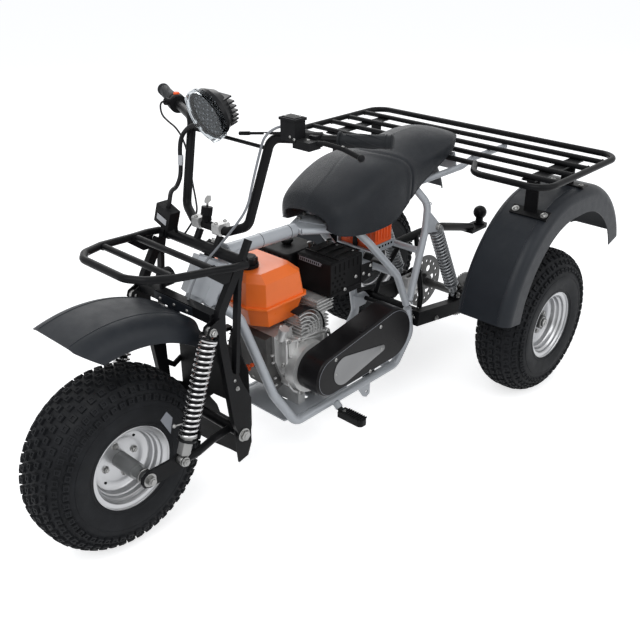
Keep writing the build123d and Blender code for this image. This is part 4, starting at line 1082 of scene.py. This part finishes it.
def detail_battery():
    ribs = Piece()
    for k in range(9):
        ribs.box((-118 + 15 * k, 1022.2, 540), (-112 + 15 * k, 1024.6, 606))
        ribs.box((-118 + 15 * k, 1107.6, 540), (-112 + 15 * k, 1109.8, 606))
    for k in range(5):
        ribs.box((19.4, 1032 + 15 * k, 556), (22.2, 1038 + 15 * k, 606))
    ribs.box((-132, 1022, 612), (22, 1110, 618))
    ribs.make("battery_ribs", "battery_red", bevel=0.8)
    posts = Piece()
    for x in (-112, 2):
        posts.box((x - 9, 1034, 631.4), (x + 9, 1052, 640))
        posts.bolt((x, 1043, 640), UP, 4.5, 4)
    posts.make("battery_posts", "steel", bevel=0.5)
    strap = Piece()
    for y0, z0, y1, z1 in ((1018, 505, 1114, 508), (1018, 508, 1021.5, 636), (1110.5, 508, 1114, 636),
                           (1018, 632.6, 1114, 636)):
        strap.box((-72, y0, z0), (-52, y1, z1))
    strap.make("battery_strap", "black_plastic", bevel=0.6)
    # Near-black patches on the tray's side: painted shade in its holes.
    holes = Piece()
    for k in range(6):
        holes.on_side(23.4, rect(1024 + 15 * k, 531, 1032 + 15 * k, 538), 0.5)
    holes.make("tray_hole_shade", "frame_grey", finish=HOLE_SHADE_AND_BAND_BLACK)


def detail_pegs():
    pegs = Piece()
    sleeves = Piece()
    for turn in (1, -1):
        for k in range(9):
            x0, x1 = sorted((turn * (170 + 8.4 * k), turn * (174.2 + 8.4 * k)))
            for y in (702.5, 711, 719, 727, 735.5):
                pegs.box((x0, y - 2.2, 121.4), (x1, y + 2.2, 126))
        sleeves.lathe((turn * 129, 718, 139), (turn * 30, 0, -26),
                      [(0, 10.4), (1, 12.2), (21, 12.2), (22, 10.4)], 24)
    pegs.make("peg_teeth", "black_steel", bevel=0.6)
    sleeves.make("peg_sleeves", "frame_grey")


def detail_tail():
    rack = Piece()
    for turn in (1, -1):
        for y in (1283, 1378, 1474, 1569):
            rack.ring((turn * (205 if y == 1283 else 492), y, 798), LEFT, 9.2, 1.7)
            rack.ring((turn * 402, y, 788), UP, 8.6, 1.4)
    rack.make("rack_welds", "black_steel")
    beads = Piece()
    front = Piece()
    lumps = Piece()
    for turn in (1, -1):
        for x in (310, 440):
            line = (circle(FENDER.y, FENDER.z, FENDER_R + 0.2, radians(170), FENDER_MEET, 23)
                    + circle(FENDER_TOP.y, FENDER_TOP.z, FENDER_TOP_R + 0.2, FENDER_MEET, pi / 2, 13)[1:])
            beads.pipe([(turn * x, y, z) for y, z in line], 0.9, 6, 1)
        for x, radius, thick, first in ((65, 397.6, 1.7, 107), (118.5, 339.5, 2.4, 100)):
            line = circle(0, 268, radius, radians(first), radians(55), 32)
            front.pipe([(turn * x, y, z) for y, z in line], thick, 8, 1)
        for angle in (47, 32):
            out = spoke(radians(angle))
            v = out.cross(Vector(LEFT))
            place = Vector((turn * 412 - 26, 1530, FENDER_TOP.z + 5)) + out * 321 + v * 17
            lumps.slab(place, LEFT, -v, rect(0, 0, 52, 34), -17)
    beads.make("fender_beads", "charcoal_fender")
    front.make("front_fender_beads", "charcoal_fender", "fork")
    lumps.make("tail_lumps", "charcoal_fender", bevel=5)

    gear = Piece()
    hub = Vector((0, WHEELBASE, AXLE_Z))
    for a in turns(44):
        u = spoke(a)
        v = spoke(a + pi / 2)
        gear.slab(hub + Vector((88, 0, 0)) + u * 77 - v * 2.6, v, u,
                  [(0, 0), (5.2, 0), (3.8, 6.4), (1.4, 6.4)], -4)
    for a in turns(6):
        gear.bolt(hub + Vector((92, 0, 0)) + spoke(a) * 42, LEFT, 5.5, 4)
    for turn in (1, -1):
        gear.bolt((turn * 425, WHEELBASE, AXLE_Z), (turn, 0, 0), 15, 10)
    gear.make("axle_gear", "steel", "rear_axle")


lay_cords()
set_camera()
set_world()
set_floor()
area_light("key", (1.4, -3.0, 4.0), (0, 0, 0.4), 3.0, 105)
area_light("fill", (3.8, 1.0, 2.6), (0, 0, 0.4), 3.2, 52)
area_light("back", (-3.0, 2.2, 3.6), (0, 0.2, 0.5), 3.0, 70)
dress_frame()
build_wheels()
make_seat()
detail_fork()
detail_belt_cover()
detail_crankcase()
detail_cylinder()
detail_starter()
detail_exhaust()
detail_filter()
detail_frame()
detail_battery()
detail_pegs()
detail_tail()
